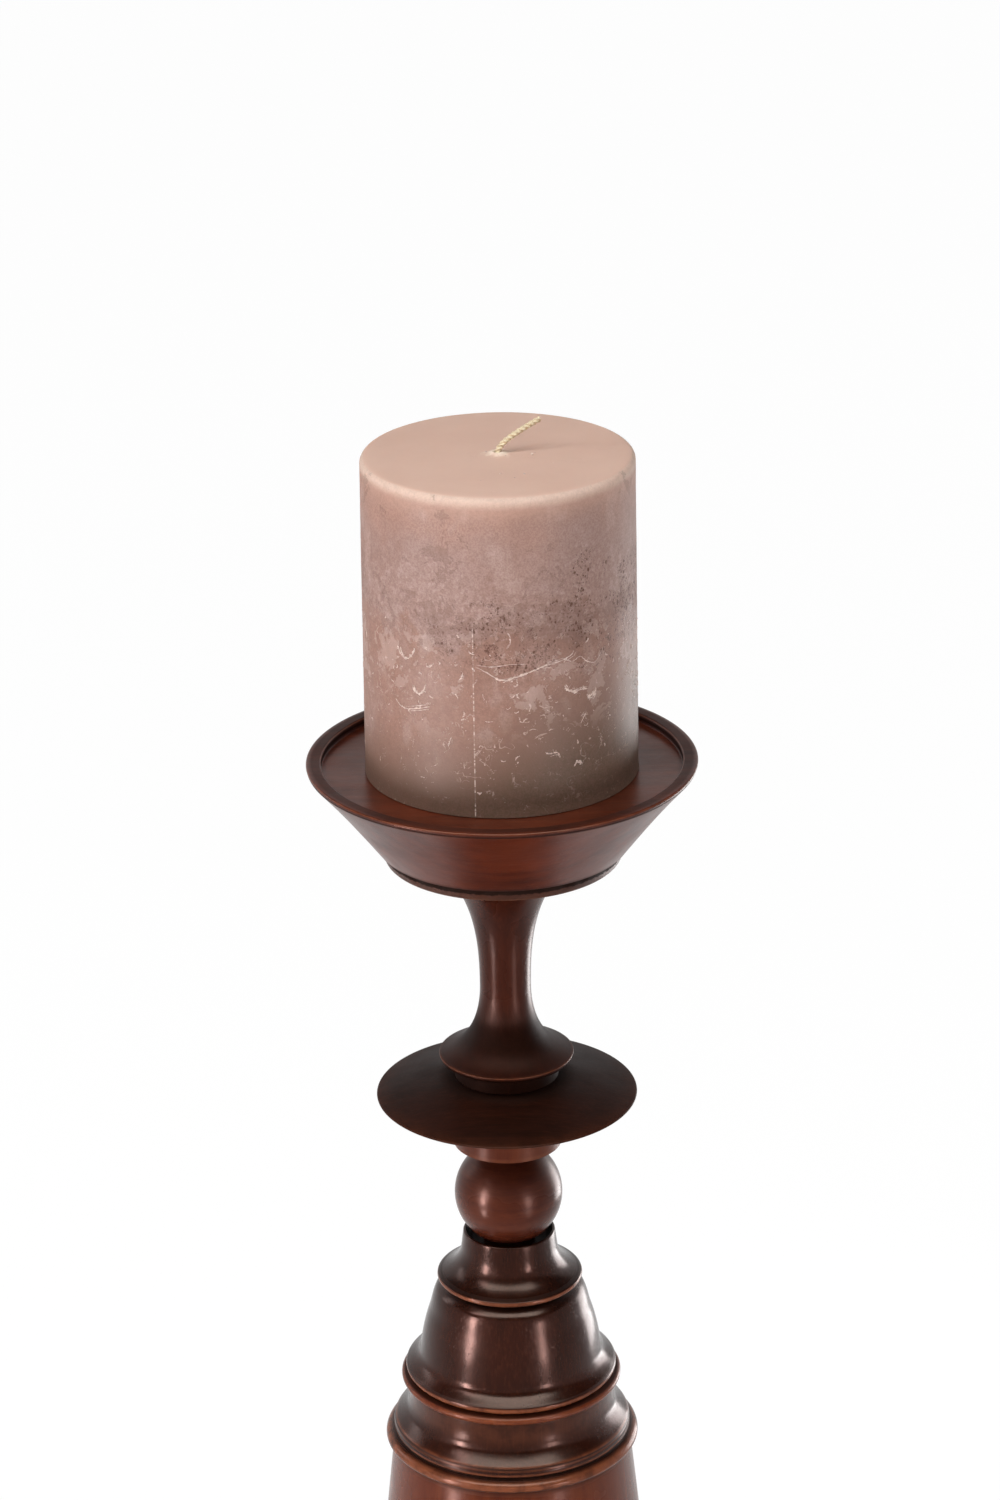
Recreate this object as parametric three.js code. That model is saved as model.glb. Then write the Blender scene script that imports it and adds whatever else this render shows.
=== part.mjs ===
// Turned wooden candle holder with a pillar candle, in millimetres, +Z up, standing on the plane z = 0.
import * as THREE from 'three';

// Fits between the pieces
const SEAM = 0.3; // glue line between two seated faces
const SLIP = 0.3; // round a spigot in its socket
const SPARE = 0.7; // below the end of a spigot
const ARRIS = 0.5; // eased corner of a turned edge

// Felt pads
const PAD_COUNT = 4;
const PAD_R = 10;
const PAD_H = 3;
const PAD_CIRCLE_R = 70;

// Plinth
const PLINTH_R = 87.5;
const PLINTH_H = 20;
const PLINTH_CHAMFER = 1.2;
const PLINTH_ROUND = 5;
const PLINTH_QUIRK = 1.2;
const NUT_POCKET_DEPTH = 11;
const NUT_POCKET_ROOM = 1.2; // round the washer

// Foot moulding, an ogee over a low edge
const FOOT_R = 80;
const FOOT_H = 28;
const FOOT_EDGE_H = 5;
const FOOT_EDGE_ROUND = 1;
const FOOT_HOLLOW_R = 64;
const FOOT_HOLLOW_H = 17;
const FOOT_TOP_R = 60;

// Foot bead
const FOOT_BEAD_R = 66;
const FOOT_BEAD_H = 11;
const FOOT_BEAD_BULGE = 5;

// Column
const COLUMN_H = 134;
const COLUMN_FOOT_R = 60;
const COLUMN_TOP_R = 46;

// Shoulder ring, a hollow over a band, a groove and a bead
const SHOULDER_H = 25.6;
const SHOULDER_BEAD_R = 49.05;
const SHOULDER_BEAD_H = 4.9;
const SHOULDER_BEAD_MIDDLE = 1.9;
const SHOULDER_BEAD_ROUND = 2.2; // from the widest line in to the foot
const SHOULDER_GROOVE_R = 45.3;
const SHOULDER_BAND_R = 45.9;
const SHOULDER_BAND_H = 5.7;
const SHOULDER_EDGE_R = 45.1;
const SHOULDER_EDGE_H = 9.4;
const SHOULDER_HOLLOW_R = 41.2;
const SHOULDER_HOLLOW_H = 14.2;
const SHOULDER_TOP_R = 41;

// Bead ring
const BEAD_RING_R = 42.45;
const BEAD_RING_H = 3.3;
const BEAD_RING_MIDDLE = 1.9;
const BEAD_RING_BULGE = 1.5;

// Large bell
const BELL_H = 39.2;
const BELL_FOOT_R = 38.8;
const BELL_EDGE_R = 40.7;
const BELL_EDGE_MIDDLE = 2.1; // from the foot to the widest line
const BELL_EDGE_H = 3.3;
const BELL_EDGE_ROUND = 0.5; // from the widest line in to the hollow
const BELL_HOLLOW_R = 35.1;
const BELL_HOLLOW_H = 9.3;
const BELL_SHOULDER_R = 31.2;
const BELL_SHOULDER_H = 26.3;
const BELL_BROW_R = 28.3;
const BELL_BROW_DROP = 3.9; // below the top
const BELL_TOP_R = 22.6;

// Cup bell, which the ball sits in
const CUP_H = 20.4;
const CUP_FOOT_R = 26.9;
const CUP_EDGE_R = 27.9;
const CUP_EDGE_MIDDLE = 1.3; // from the foot to the widest line
const CUP_EDGE_H = 2.4;
const CUP_EDGE_ROUND = 0.5; // from the widest line in to the hollow
const CUP_WAIST_R = 18.5;
const CUP_WAIST_H = 13;
const CUP_LIP_R = 17.6;
const CUP_LIP_ROUND = 0.4;
const CUP_LIP_WIDTH = 1;
const CUP_SEAT_R = 12.5; // where the recess meets its floor
const CUP_RECESS = 5;

// Ball
const BALL_R = 20.6;
const BALL_STUB_R = 9.8;
const BALL_FOOT_STUB_H = 2.4;
const BALL_TOP_STUB_H = 3.4;

// Collar under the drip disc
const COLLAR_H = 12.4;
const COLLAR_FOOT_R = 20.5;
const COLLAR_TOP_R = 20.9;

// Drip disc
const DISC_R = 49.5;
const DISC_H = 15.5; // at the hub
const DISC_EDGE_H = 7.5; // from the hub's foot to the disc's edge
const DISC_EDGE = 1;
const DISC_HUB_R = 20.6;

// Neck
const NECK_H = 89.6;
const NECK_FOOT_R = 19.7;
const NECK_FOOT_H = 6.9;
const FLANGE_R = 25.4;
const FLANGE_EDGE = 2.2;
const FLANGE_UNDERCUT = 1; // rounded in under the edge
const NECK_WAIST_R = 9.6;
const NECK_WAIST_H = 36.7;
const NECK_TOP_R = 26.5;

// Plate under the tray
const PLATE_FOOT_R = 44.1;
const PLATE_TOP_R = 45.6;
const PLATE_H = 4.6;

// Tray
const TRAY_R = 72.5;
const TRAY_H = 33.6;
const TRAY_FOOT_R = 46.6;
const TRAY_RIM_WIDTH = 5.6;
const TRAY_RIM_EDGE = 1.8; // height of the rim's edge over the cone
const TRAY_RIM_ROUND = 0.7;
const TRAY_RIM_FLARE = 0.3; // from the cone out to the rim's edge
const TRAY_RECESS = 3.25;

// Candle and its wick
const CANDLE_R = 50;
const CANDLE_TAPER = 0.6; // wider at the foot
const CANDLE_H = 121.4;
const CANDLE_ROUND = 2.5;
const WICK_R = 1.15;
const WICK_RISE = 12.4;
const WICK_LEAN = 15.6;
const WICK_DRIFT = 2;
const WICK_START = 1; // over the candle's foot
const WICK_SIDES = 6;

// Tie rod, with its insert, washer and nut
const ROD_R = 4;
const ROD_ROOM = 0.6; // round the rod in the wood
const ROD_TAIL = 2; // past the nut
const INSERT_R = 6;
const INSERT_H = 13;
const INSERT_LEDGE = 1.5; // wood under the insert's pocket end
const WASHER_R = 12;
const WASHER_H = 1.6;
const NUT_FLATS = 13;
const NUT_H = 6.5;

// Spigots, each under the piece it is named for
const FOOT_SPIGOT = { r: 24, length: 4 };
const COLUMN_SPIGOT = { r: 20, length: 8 };
const SHOULDER_SPIGOT = { r: 18, length: 12 };
const BELL_SPIGOT = { r: 16, length: 7 };
const CUP_SPIGOT = { r: 13, length: 7 };
const BALL_SPIGOT = { r: 7.2, length: 6 };
const COLLAR_SPIGOT = { r: 7.2, length: 6 };
const DISC_SPIGOT = { r: 11, length: 6 };
const NECK_SPIGOT = { r: 11, length: 6 };
const TRAY_SPIGOT = { r: 10, length: 12 };

// Facets round a wide, a slender and a small piece
const WIDE = 32;
const SLENDER = 24;
const SMALL = 16;

const ROD_BORE_R = ROD_R + ROD_ROOM;

// Feet of the pieces, from the table up
const PLINTH_Z = PAD_H + SEAM;
const FOOT_Z = PLINTH_Z + PLINTH_H + SEAM;
const FOOT_BEAD_Z = FOOT_Z + FOOT_H + SEAM;
const COLUMN_Z = FOOT_BEAD_Z + FOOT_BEAD_H + SEAM;
const SHOULDER_Z = COLUMN_Z + COLUMN_H + SEAM;
const BEAD_RING_Z = SHOULDER_Z + SHOULDER_H + SEAM;
const BELL_Z = BEAD_RING_Z + BEAD_RING_H + SEAM;
const CUP_Z = BELL_Z + BELL_H + SEAM;
const BALL_Z = CUP_Z + CUP_H - CUP_RECESS + SEAM;
const BALL_STUB_DROP = Math.sqrt(BALL_R ** 2 - BALL_STUB_R ** 2);
const BALL_MIDDLE_H = BALL_FOOT_STUB_H + BALL_STUB_DROP;
const BALL_H = BALL_MIDDLE_H + BALL_STUB_DROP + BALL_TOP_STUB_H;
const COLLAR_Z = BALL_Z + BALL_H + SEAM;
const DISC_Z = COLLAR_Z + COLLAR_H + SEAM;
const NECK_Z = DISC_Z + DISC_H + SEAM;
const PLATE_Z = NECK_Z + NECK_H + SEAM;
const TRAY_Z = PLATE_Z + PLATE_H + SEAM;
const CANDLE_Z = TRAY_Z + TRAY_H - TRAY_RECESS + SEAM;

// An outline in the plane of radius and height, drawn from a piece's foot up its outside.
// Angles are in degrees: 0 points outwards, 90 up and 180 to the axis.
class Outline {
  constructor(r, z) {
    this.points = [new THREE.Vector2(r, z)];
  }

  line(r, z) {
    this.points.push(new THREE.Vector2(r, z));
    return this;
  }

  // A smooth curve that leaves the last point at one angle and arrives at another
  curve(r, z, leave, arrive, steps = 6, pull = 0.38) {
    const from = this.points.at(-1);
    const to = new THREE.Vector2(r, z);
    const reach = from.distanceTo(to) * pull;
    const heading = (degrees) => {
      const angle = THREE.MathUtils.degToRad(degrees);
      return new THREE.Vector2(Math.cos(angle), Math.sin(angle)).multiplyScalar(reach);
    };
    const bend = new THREE.CubicBezierCurve(
      from, from.clone().add(heading(leave)), to.clone().sub(heading(arrive)), to);
    this.points.push(...bend.getPoints(steps).slice(1));
    return this;
  }
}

// Turns a closed outline, or one that starts and ends on the axis, into a solid that stands along Z.
function turn(points, facets) {
  return new THREE.LatheGeometry(points, facets).rotateX(Math.PI / 2);
}

// A turned piece with the rod's bore, its own spigot below and a socket for the spigot of the piece above.
function turnedPiece(outline, facets, { spigot, above, bore = ROD_BORE_R }) {
  const foot = outline.points[0].y;
  const top = outline.points.at(-1).y;
  const loop = new Outline(bore, spigot ? foot - spigot.length : foot);
  if (spigot) loop.line(spigot.r, foot - spigot.length).line(spigot.r, foot);
  loop.points.push(...outline.points);
  if (above) {
    const depth = above.length + SPARE;
    loop.line(above.r + SLIP, top).line(above.r + SLIP, top - depth).line(bore, top - depth);
  } else {
    loop.line(bore, top);
  }
  loop.points.push(loop.points[0].clone());
  return turn(loop.points, facets);
}

// A spigot that first passes through a loose ring under its piece
function through(spigot, ringHeight) {
  return { r: spigot.r, length: spigot.length + ringHeight + 2 * SEAM };
}

function plinth() {
  const pocketR = WASHER_R + NUT_POCKET_ROOM;
  const ledgeR = PLINTH_R - PLINTH_ROUND;
  const socketR = FOOT_SPIGOT.r + SLIP;
  const socketZ = PLINTH_H - FOOT_SPIGOT.length - SPARE;
  const loop = new Outline(ROD_BORE_R, NUT_POCKET_DEPTH)
    .line(pocketR, NUT_POCKET_DEPTH)
    .line(pocketR, 0)
    .line(PLINTH_R - PLINTH_CHAMFER, 0)
    .line(PLINTH_R, PLINTH_CHAMFER)
    .line(PLINTH_R, PLINTH_H - PLINTH_QUIRK - PLINTH_ROUND)
    .curve(ledgeR, PLINTH_H - PLINTH_QUIRK, 90, 180, 4)
    .line(ledgeR, PLINTH_H)
    .line(socketR, PLINTH_H)
    .line(socketR, socketZ)
    .line(ROD_BORE_R, socketZ)
    .line(ROD_BORE_R, NUT_POCKET_DEPTH);
  return turn(loop.points, WIDE);
}

function footMoulding() {
  const outline = new Outline(FOOT_R - FOOT_EDGE_ROUND, 0)
    .curve(FOOT_R, FOOT_EDGE_H, 45, 125, 4)
    .curve(FOOT_HOLLOW_R, FOOT_HOLLOW_H, 160, 98, 5)
    .curve(FOOT_TOP_R, FOOT_H, 98, 140, 4);
  return turnedPiece(outline, WIDE, { spigot: FOOT_SPIGOT, above: COLUMN_SPIGOT });
}

function footBead() {
  const neck = FOOT_BEAD_R - FOOT_BEAD_BULGE;
  const outline = new Outline(neck, 0)
    .curve(FOOT_BEAD_R, FOOT_BEAD_H / 2, 0, 90, 4)
    .curve(neck, FOOT_BEAD_H, 90, 180, 4);
  return turnedPiece(outline, WIDE, { bore: COLUMN_SPIGOT.r + SLIP });
}

function column() {
  const outline = new Outline(COLUMN_FOOT_R, 0).curve(COLUMN_TOP_R, COLUMN_H, 96.1, 96.1, 3);
  const spigot = through(COLUMN_SPIGOT, FOOT_BEAD_H);
  return turnedPiece(outline, WIDE, { spigot, above: SHOULDER_SPIGOT });
}

function shoulderRing() {
  const outline = new Outline(SHOULDER_BEAD_R - SHOULDER_BEAD_ROUND, 0)
    .curve(SHOULDER_BEAD_R, SHOULDER_BEAD_MIDDLE, 10, 90, 3)
    .curve(SHOULDER_GROOVE_R, SHOULDER_BEAD_H, 90, 170, 3)
    .line(SHOULDER_BAND_R, SHOULDER_BAND_H)
    .curve(SHOULDER_EDGE_R, SHOULDER_EDGE_H, 90, 130, 2)
    .curve(SHOULDER_HOLLOW_R, SHOULDER_HOLLOW_H, 138, 92, 5)
    .line(SHOULDER_TOP_R, SHOULDER_H);
  return turnedPiece(outline, WIDE, { spigot: SHOULDER_SPIGOT, above: BELL_SPIGOT });
}

function beadRing() {
  const neck = BEAD_RING_R - BEAD_RING_BULGE;
  const outline = new Outline(neck, 0)
    .curve(BEAD_RING_R, BEAD_RING_MIDDLE, 10, 90, 3)
    .curve(neck, BEAD_RING_H, 90, 165, 2);
  return turnedPiece(outline, WIDE, { bore: BELL_SPIGOT.r + SLIP });
}

function largeBell() {
  const outline = new Outline(BELL_FOOT_R, 0)
    .curve(BELL_EDGE_R, BELL_EDGE_MIDDLE, 30, 90, 3)
    .curve(BELL_EDGE_R - BELL_EDGE_ROUND, BELL_EDGE_H, 90, 138, 2)
    .curve(BELL_HOLLOW_R, BELL_HOLLOW_H, 140, 104, 5)
    .curve(BELL_SHOULDER_R, BELL_SHOULDER_H, 103, 105, 2)
    .curve(BELL_BROW_R, BELL_H - BELL_BROW_DROP, 105, 118, 2)
    .curve(BELL_TOP_R, BELL_H, 132, 152, 3);
  const spigot = through(BELL_SPIGOT, BEAD_RING_H);
  return turnedPiece(outline, WIDE, { spigot, above: CUP_SPIGOT });
}

function cupBell() {
  const outline = new Outline(CUP_FOOT_R, 0)
    .curve(CUP_EDGE_R, CUP_EDGE_MIDDLE, 40, 90, 2)
    .curve(CUP_EDGE_R - CUP_EDGE_ROUND, CUP_EDGE_H, 90, 152, 2)
    .curve(CUP_WAIST_R, CUP_WAIST_H, 154, 98, 7)
    .line(CUP_LIP_R, CUP_H - CUP_LIP_ROUND)
    .line(CUP_LIP_R - CUP_LIP_ROUND, CUP_H)
    .line(CUP_LIP_R - CUP_LIP_WIDTH, CUP_H)
    .curve(CUP_SEAT_R, CUP_H - CUP_RECESS, 240, 185, 2);
  return turnedPiece(outline, SLENDER, { spigot: CUP_SPIGOT, above: BALL_SPIGOT });
}

function ball() {
  const reach = Math.acos(BALL_STUB_R / BALL_R);
  const steps = 12;
  const outline = new Outline(BALL_STUB_R, 0);
  for (let i = 0; i <= steps; i++) {
    const angle = -reach + (2 * reach * i) / steps;
    outline.line(BALL_R * Math.cos(angle), BALL_MIDDLE_H + BALL_R * Math.sin(angle));
  }
  outline.line(BALL_STUB_R, BALL_H);
  return turnedPiece(outline, SLENDER, { spigot: BALL_SPIGOT, above: COLLAR_SPIGOT });
}

function collar() {
  const outline = new Outline(COLLAR_FOOT_R, 0)
    .curve(COLLAR_TOP_R, COLLAR_H, 88, 90, 2);
  return turnedPiece(outline, SLENDER, { spigot: COLLAR_SPIGOT, above: DISC_SPIGOT });
}

function dripDisc() {
  const edgeMiddle = DISC_EDGE_H + DISC_EDGE / 2;
  const outline = new Outline(DISC_HUB_R, 0)
    .curve(DISC_R - ARRIS, DISC_EDGE_H, 20, 12, 3)
    .line(DISC_R, edgeMiddle)
    .line(DISC_R - ARRIS, DISC_EDGE_H + DISC_EDGE)
    .line(DISC_HUB_R, DISC_H);
  return turnedPiece(outline, WIDE, { spigot: DISC_SPIGOT, above: NECK_SPIGOT });
}

function neckSpindle() {
  const outline = new Outline(NECK_FOOT_R, 0)
    .line(NECK_FOOT_R, NECK_FOOT_H)
    .line(FLANGE_R - FLANGE_UNDERCUT, NECK_FOOT_H)
    .curve(FLANGE_R, NECK_FOOT_H + FLANGE_EDGE, 45, 95, 3)
    .curve(NECK_WAIST_R, NECK_WAIST_H, 165, 90, 8)
    .curve(NECK_TOP_R, NECK_H, 90, 47, 8);
  return turnedPiece(outline, SLENDER, { spigot: NECK_SPIGOT, above: TRAY_SPIGOT });
}

function trayPlate() {
  const outline = new Outline(PLATE_FOOT_R - ARRIS, 0)
    .line(PLATE_FOOT_R, ARRIS)
    .line(PLATE_TOP_R, PLATE_H);
  return turnedPiece(outline, WIDE, { bore: TRAY_SPIGOT.r + SLIP });
}

function tray() {
  const rimInner = TRAY_R - TRAY_RIM_WIDTH;
  const spigot = through(TRAY_SPIGOT, PLATE_H);
  const pocketR = INSERT_R + SLIP;
  const pocketTop = -spigot.length + INSERT_H + INSERT_LEDGE;
  const outline = new Outline(0, pocketTop)
    .line(pocketR, pocketTop)
    .line(pocketR, -spigot.length)
    .line(spigot.r, -spigot.length)
    .line(spigot.r, 0)
    .line(TRAY_FOOT_R, 0)
    .curve(TRAY_R - TRAY_RIM_FLARE, TRAY_H - TRAY_RIM_EDGE, 53, 48, 6)
    .line(TRAY_R, TRAY_H - TRAY_RIM_ROUND)
    .curve(TRAY_R - TRAY_RIM_ROUND, TRAY_H, 92, 175, 2)
    .line(rimInner + ARRIS, TRAY_H)
    .line(rimInner, TRAY_H - ARRIS)
    .line(rimInner, TRAY_H - TRAY_RECESS)
    .line(0, TRAY_H - TRAY_RECESS);
  return turn(outline.points, WIDE);
}

function candleWax() {
  const bore = WICK_R + SLIP;
  const outline = new Outline(CANDLE_R + CANDLE_TAPER, 0)
    .line(CANDLE_R, CANDLE_H - CANDLE_ROUND)
    .curve(CANDLE_R - CANDLE_ROUND, CANDLE_H, 90, 180, 4);
  return turnedPiece(outline, WIDE, { bore });
}

// The wick runs the height of the candle and bends over above it.
function candleWick() {
  const top = CANDLE_H;
  const straight = new THREE.LineCurve3(
    new THREE.Vector3(0, 0, WICK_START), new THREE.Vector3(0, 0, top));
  const bend = new THREE.CubicBezierCurve3(
    new THREE.Vector3(0, 0, top),
    new THREE.Vector3(0, 0, top + WICK_RISE * 0.3),
    new THREE.Vector3(WICK_LEAN * 0.45, WICK_DRIFT * 0.45, top + WICK_RISE * 0.62),
    new THREE.Vector3(WICK_LEAN, WICK_DRIFT, top + WICK_RISE));
  const route = new THREE.CurvePath();
  route.add(straight);
  route.add(bend);
  const section = new THREE.Shape();
  for (let i = 0; i < WICK_SIDES; i++) {
    const angle = (2 * Math.PI * i) / WICK_SIDES;
    section[i ? 'lineTo' : 'moveTo'](WICK_R * Math.cos(angle), WICK_R * Math.sin(angle));
  }
  return new THREE.ExtrudeGeometry(section, { steps: 28, extrudePath: route });
}

// A ring of any wall: washer, insert or pad without a hole
function ring(outerR, innerR, height, facets) {
  const outline = innerR
    ? new Outline(innerR, 0).line(outerR, 0).line(outerR, height).line(innerR, height).line(innerR, 0)
    : new Outline(0, 0).line(outerR, 0).line(outerR, height).line(0, height);
  return turn(outline.points, facets);
}

function hexNut() {
  const corner = NUT_FLATS / 2 / Math.cos(Math.PI / 6);
  const hexagon = new THREE.Shape();
  for (let i = 0; i < 6; i++) {
    const angle = (Math.PI * i) / 3;
    hexagon[i ? 'lineTo' : 'moveTo'](corner * Math.cos(angle), corner * Math.sin(angle));
  }
  hexagon.holes.push(new THREE.Path().absarc(0, 0, ROD_R + SLIP, 0, 2 * Math.PI));
  return new THREE.ExtrudeGeometry(hexagon, { depth: NUT_H, bevelEnabled: false, curveSegments: 6 });
}

const finish = (color, roughness, metalness = 0) => () =>
  new THREE.MeshStandardMaterial({ color, roughness, metalness });
const darkWood = finish('#4a2a20', 0.34);
const warmWood = finish('#6b3d2b', 0.34);
const trayWood = finish('#5a3728', 0.38);
const wax = finish('#b3928a', 0.55);
const cotton = finish('#e6dccb', 0.9);
const felt = finish('#2d2421', 0.95);
const zinc = finish('#a9adb0', 0.35, 1);

const holder = new THREE.Group();

function add(name, geometry, material, z, x = 0, y = 0) {
  const mesh = new THREE.Mesh(geometry, material());
  mesh.name = name;
  mesh.position.set(x, y, z);
  holder.add(mesh);
}

for (let i = 0; i < PAD_COUNT; i++) {
  const angle = (2 * Math.PI * (i + 0.5)) / PAD_COUNT;
  const x = PAD_CIRCLE_R * Math.cos(angle);
  const y = PAD_CIRCLE_R * Math.sin(angle);
  add(`felt_pad_${i + 1}`, ring(PAD_R, 0, PAD_H, SMALL), felt, 0, x, y);
}
add('base_plinth', plinth(), darkWood, PLINTH_Z);
add('foot_moulding', footMoulding(), darkWood, FOOT_Z);
add('foot_bead', footBead(), warmWood, FOOT_BEAD_Z);
add('column', column(), warmWood, COLUMN_Z);
add('shoulder_ring', shoulderRing(), darkWood, SHOULDER_Z);
add('bead_ring', beadRing(), warmWood, BEAD_RING_Z);
add('large_bell', largeBell(), darkWood, BELL_Z);
add('cup_bell', cupBell(), darkWood, CUP_Z);
add('ball', ball(), warmWood, BALL_Z);
add('disc_collar', collar(), warmWood, COLLAR_Z);
add('drip_disc', dripDisc(), darkWood, DISC_Z);
add('neck_spindle', neckSpindle(), darkWood, NECK_Z);
add('tray_plate', trayPlate(), darkWood, PLATE_Z);
add('candle_tray', tray(), trayWood, TRAY_Z);

// The insert is flush with the end of the tray's spigot, and the rod ends inside it.
const insertZ = TRAY_Z - through(TRAY_SPIGOT, PLATE_H).length;
const washerZ = PLINTH_Z + NUT_POCKET_DEPTH - SEAM - WASHER_H;
const nutZ = washerZ - SEAM - NUT_H;
const rodZ = nutZ - ROD_TAIL;
const rodLength = insertZ + INSERT_H - rodZ;
add('rod_insert', ring(INSERT_R, ROD_R + SLIP, INSERT_H, SMALL), zinc, insertZ);
add('tie_rod', ring(ROD_R, 0, rodLength, SMALL), zinc, rodZ);
add('rod_washer', ring(WASHER_R, ROD_R + SLIP, WASHER_H, SMALL), zinc, washerZ);
add('rod_nut', hexNut(), zinc, nutZ);

add('candle_wax', candleWax(), wax, CANDLE_Z);
add('candle_wick', candleWick(), cotton, CANDLE_Z);

export default holder;
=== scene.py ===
"""Looks of the turned wooden candle holder with its pillar candle: pieces, materials, light and camera."""
import math
import random

import bmesh
import bpy
from mathutils import Matrix, Vector, noise


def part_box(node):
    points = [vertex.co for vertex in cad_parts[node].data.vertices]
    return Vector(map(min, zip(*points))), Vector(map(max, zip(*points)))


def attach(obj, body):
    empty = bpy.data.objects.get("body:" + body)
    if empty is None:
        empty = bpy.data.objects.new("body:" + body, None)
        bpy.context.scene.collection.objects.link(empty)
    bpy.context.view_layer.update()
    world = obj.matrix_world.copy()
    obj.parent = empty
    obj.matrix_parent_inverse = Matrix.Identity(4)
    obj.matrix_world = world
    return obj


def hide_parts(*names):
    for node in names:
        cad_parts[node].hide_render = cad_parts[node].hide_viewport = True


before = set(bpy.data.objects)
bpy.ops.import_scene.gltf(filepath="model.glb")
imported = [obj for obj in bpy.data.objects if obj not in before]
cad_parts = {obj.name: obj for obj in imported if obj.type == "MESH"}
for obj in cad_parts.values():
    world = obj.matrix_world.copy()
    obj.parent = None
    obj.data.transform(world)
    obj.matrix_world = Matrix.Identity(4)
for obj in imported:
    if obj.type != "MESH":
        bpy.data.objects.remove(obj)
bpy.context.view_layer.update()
MM = 0.001

# Camera, fitted to the outlines in the photograph
CAMERA_BACK = 1.6933  # from the turned axis, in metres
CAMERA_OVER_CANDLE = 0.5683
CAMERA_FAR = 60
CAMERA_DOWN = 0.3837  # in radians, as are the next two
CAMERA_TURN = -0.0004
CAMERA_ROLL = -0.0154
CAMERA_LENS = 118.71  # in millimetres, as is the sensor's width
CAMERA_SENSOR = 36
candle_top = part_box("candle_wax")[1].z


def make_camera():
    forward = Vector((
        math.sin(CAMERA_TURN) * math.cos(CAMERA_DOWN),
        math.cos(CAMERA_TURN) * math.cos(CAMERA_DOWN),
        -math.sin(CAMERA_DOWN)))
    right = Vector((math.cos(CAMERA_TURN), -math.sin(CAMERA_TURN), 0))
    up = right.cross(forward)
    c, s = math.cos(CAMERA_ROLL), math.sin(CAMERA_ROLL)
    right, up = c * right + s * up, c * up - s * right
    data = bpy.data.cameras.new("camera")
    data.lens = CAMERA_LENS
    data.sensor_width = CAMERA_SENSOR
    data.clip_end = CAMERA_FAR
    camera = bpy.data.objects.new("camera", data)
    turn = Matrix((right, up, -forward)).transposed().to_4x4()
    place = Vector((0, -CAMERA_BACK, candle_top + CAMERA_OVER_CANDLE))
    camera.matrix_world = Matrix.Translation(place) @ turn
    bpy.context.scene.collection.objects.link(camera)
    bpy.context.scene.camera = camera


make_camera()

# Fits between the pieces, in millimetres as all sizes of the turned pieces are
SEAM = 0.3  # glue line between two seated faces
SLIP = 0.3  # round a spigot in its socket
SPARE = 0.7  # below the end of a spigot
ARRIS = 0.5  # eased corner of a turned edge

PAD_COUNT, PAD_R, PAD_H, PAD_CIRCLE_R = 4, 10, 3, 70
PLINTH_R, PLINTH_H, PLINTH_CHAMFER, PLINTH_ROUND, PLINTH_QUIRK = 87.5, 20, 1.2, 5, 1.2
NUT_POCKET_DEPTH, NUT_POCKET_R = 11, 13.2
FOOT_R, FOOT_H, FOOT_EDGE_H, FOOT_EDGE_ROUND = 80, 28, 5, 1
FOOT_HOLLOW_R, FOOT_HOLLOW_H, FOOT_TOP_R = 64, 17, 60
FOOT_BEAD_R, FOOT_BEAD_H, FOOT_BEAD_BULGE = 66, 11, 5
COLUMN_H, COLUMN_FOOT_R, COLUMN_TOP_R = 134, 60, 46
SHOULDER_H, SHOULDER_BEAD_R, SHOULDER_BEAD_H = 25.6, 49.05, 4.9
SHOULDER_BEAD_MIDDLE, SHOULDER_BEAD_ROUND = 1.9, 2.2
SHOULDER_GROOVE_R, SHOULDER_BAND_R, SHOULDER_BAND_H = 45.3, 45.9, 5.7
SHOULDER_EDGE_R, SHOULDER_EDGE_H, SHOULDER_EDGE_SLOPE = 45.1, 9.4, 139
SHOULDER_HOLLOW_R, SHOULDER_HOLLOW_H, SHOULDER_TOP_R = 40.8, 13.7, 39.6
BEAD_RING_R, BEAD_RING_H, BEAD_RING_MIDDLE, BEAD_RING_BULGE = 42.45, 3.3, 1.9, 1.5
BELL_H, BELL_FOOT_R, BELL_EDGE_R, BELL_EDGE_MIDDLE = 39.2, 38.8, 40.7, 2.1
BELL_EDGE_H, BELL_EDGE_ROUND, BELL_HOLLOW_R, BELL_HOLLOW_H = 3.3, 0.5, 35.1, 9.3
BELL_SHOULDER_R, BELL_SHOULDER_H, BELL_BROW_R, BELL_BROW_DROP, BELL_TOP_R = 31.2, 26.3, 28.3, 3.9, 22.6
CUP_H, CUP_FOOT_R, CUP_EDGE_R, CUP_EDGE_MIDDLE = 20.4, 26.9, 27.9, 1.3
CUP_EDGE_H, CUP_EDGE_ROUND, CUP_WAIST_R, CUP_WAIST_H = 2.4, 0.5, 18.5, 13
CUP_LIP_R, CUP_LIP_ROUND, CUP_LIP_WIDTH = 17.6, 0.4, 1
CUP_SEAT_R, CUP_RECESS = 12.5, 5
BALL_R, BALL_STUB_R, BALL_FOOT_STUB_H, BALL_TOP_STUB_H = 20.6, 9.8, 2.4, 3.4
COLLAR_H, COLLAR_FOOT_R, COLLAR_TOP_R = 12.4, 20.5, 20.9
DISC_R, DISC_H, DISC_EDGE_H, DISC_EDGE, DISC_HUB_R = 49.5, 15.5, 7.5, 1, 20.6
NECK_H, NECK_FOOT_R, NECK_FOOT_H = 89.6, 19.7, 6.9
FLANGE_R, FLANGE_EDGE, FLANGE_UNDERCUT = 25.4, 2.2, 1
NECK_WAIST_R, NECK_WAIST_H, NECK_TOP_R = 9.6, 36.7, 26.5
PLATE_FOOT_R, PLATE_TOP_R, PLATE_H = 44.1, 45.6, 4.6
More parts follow.
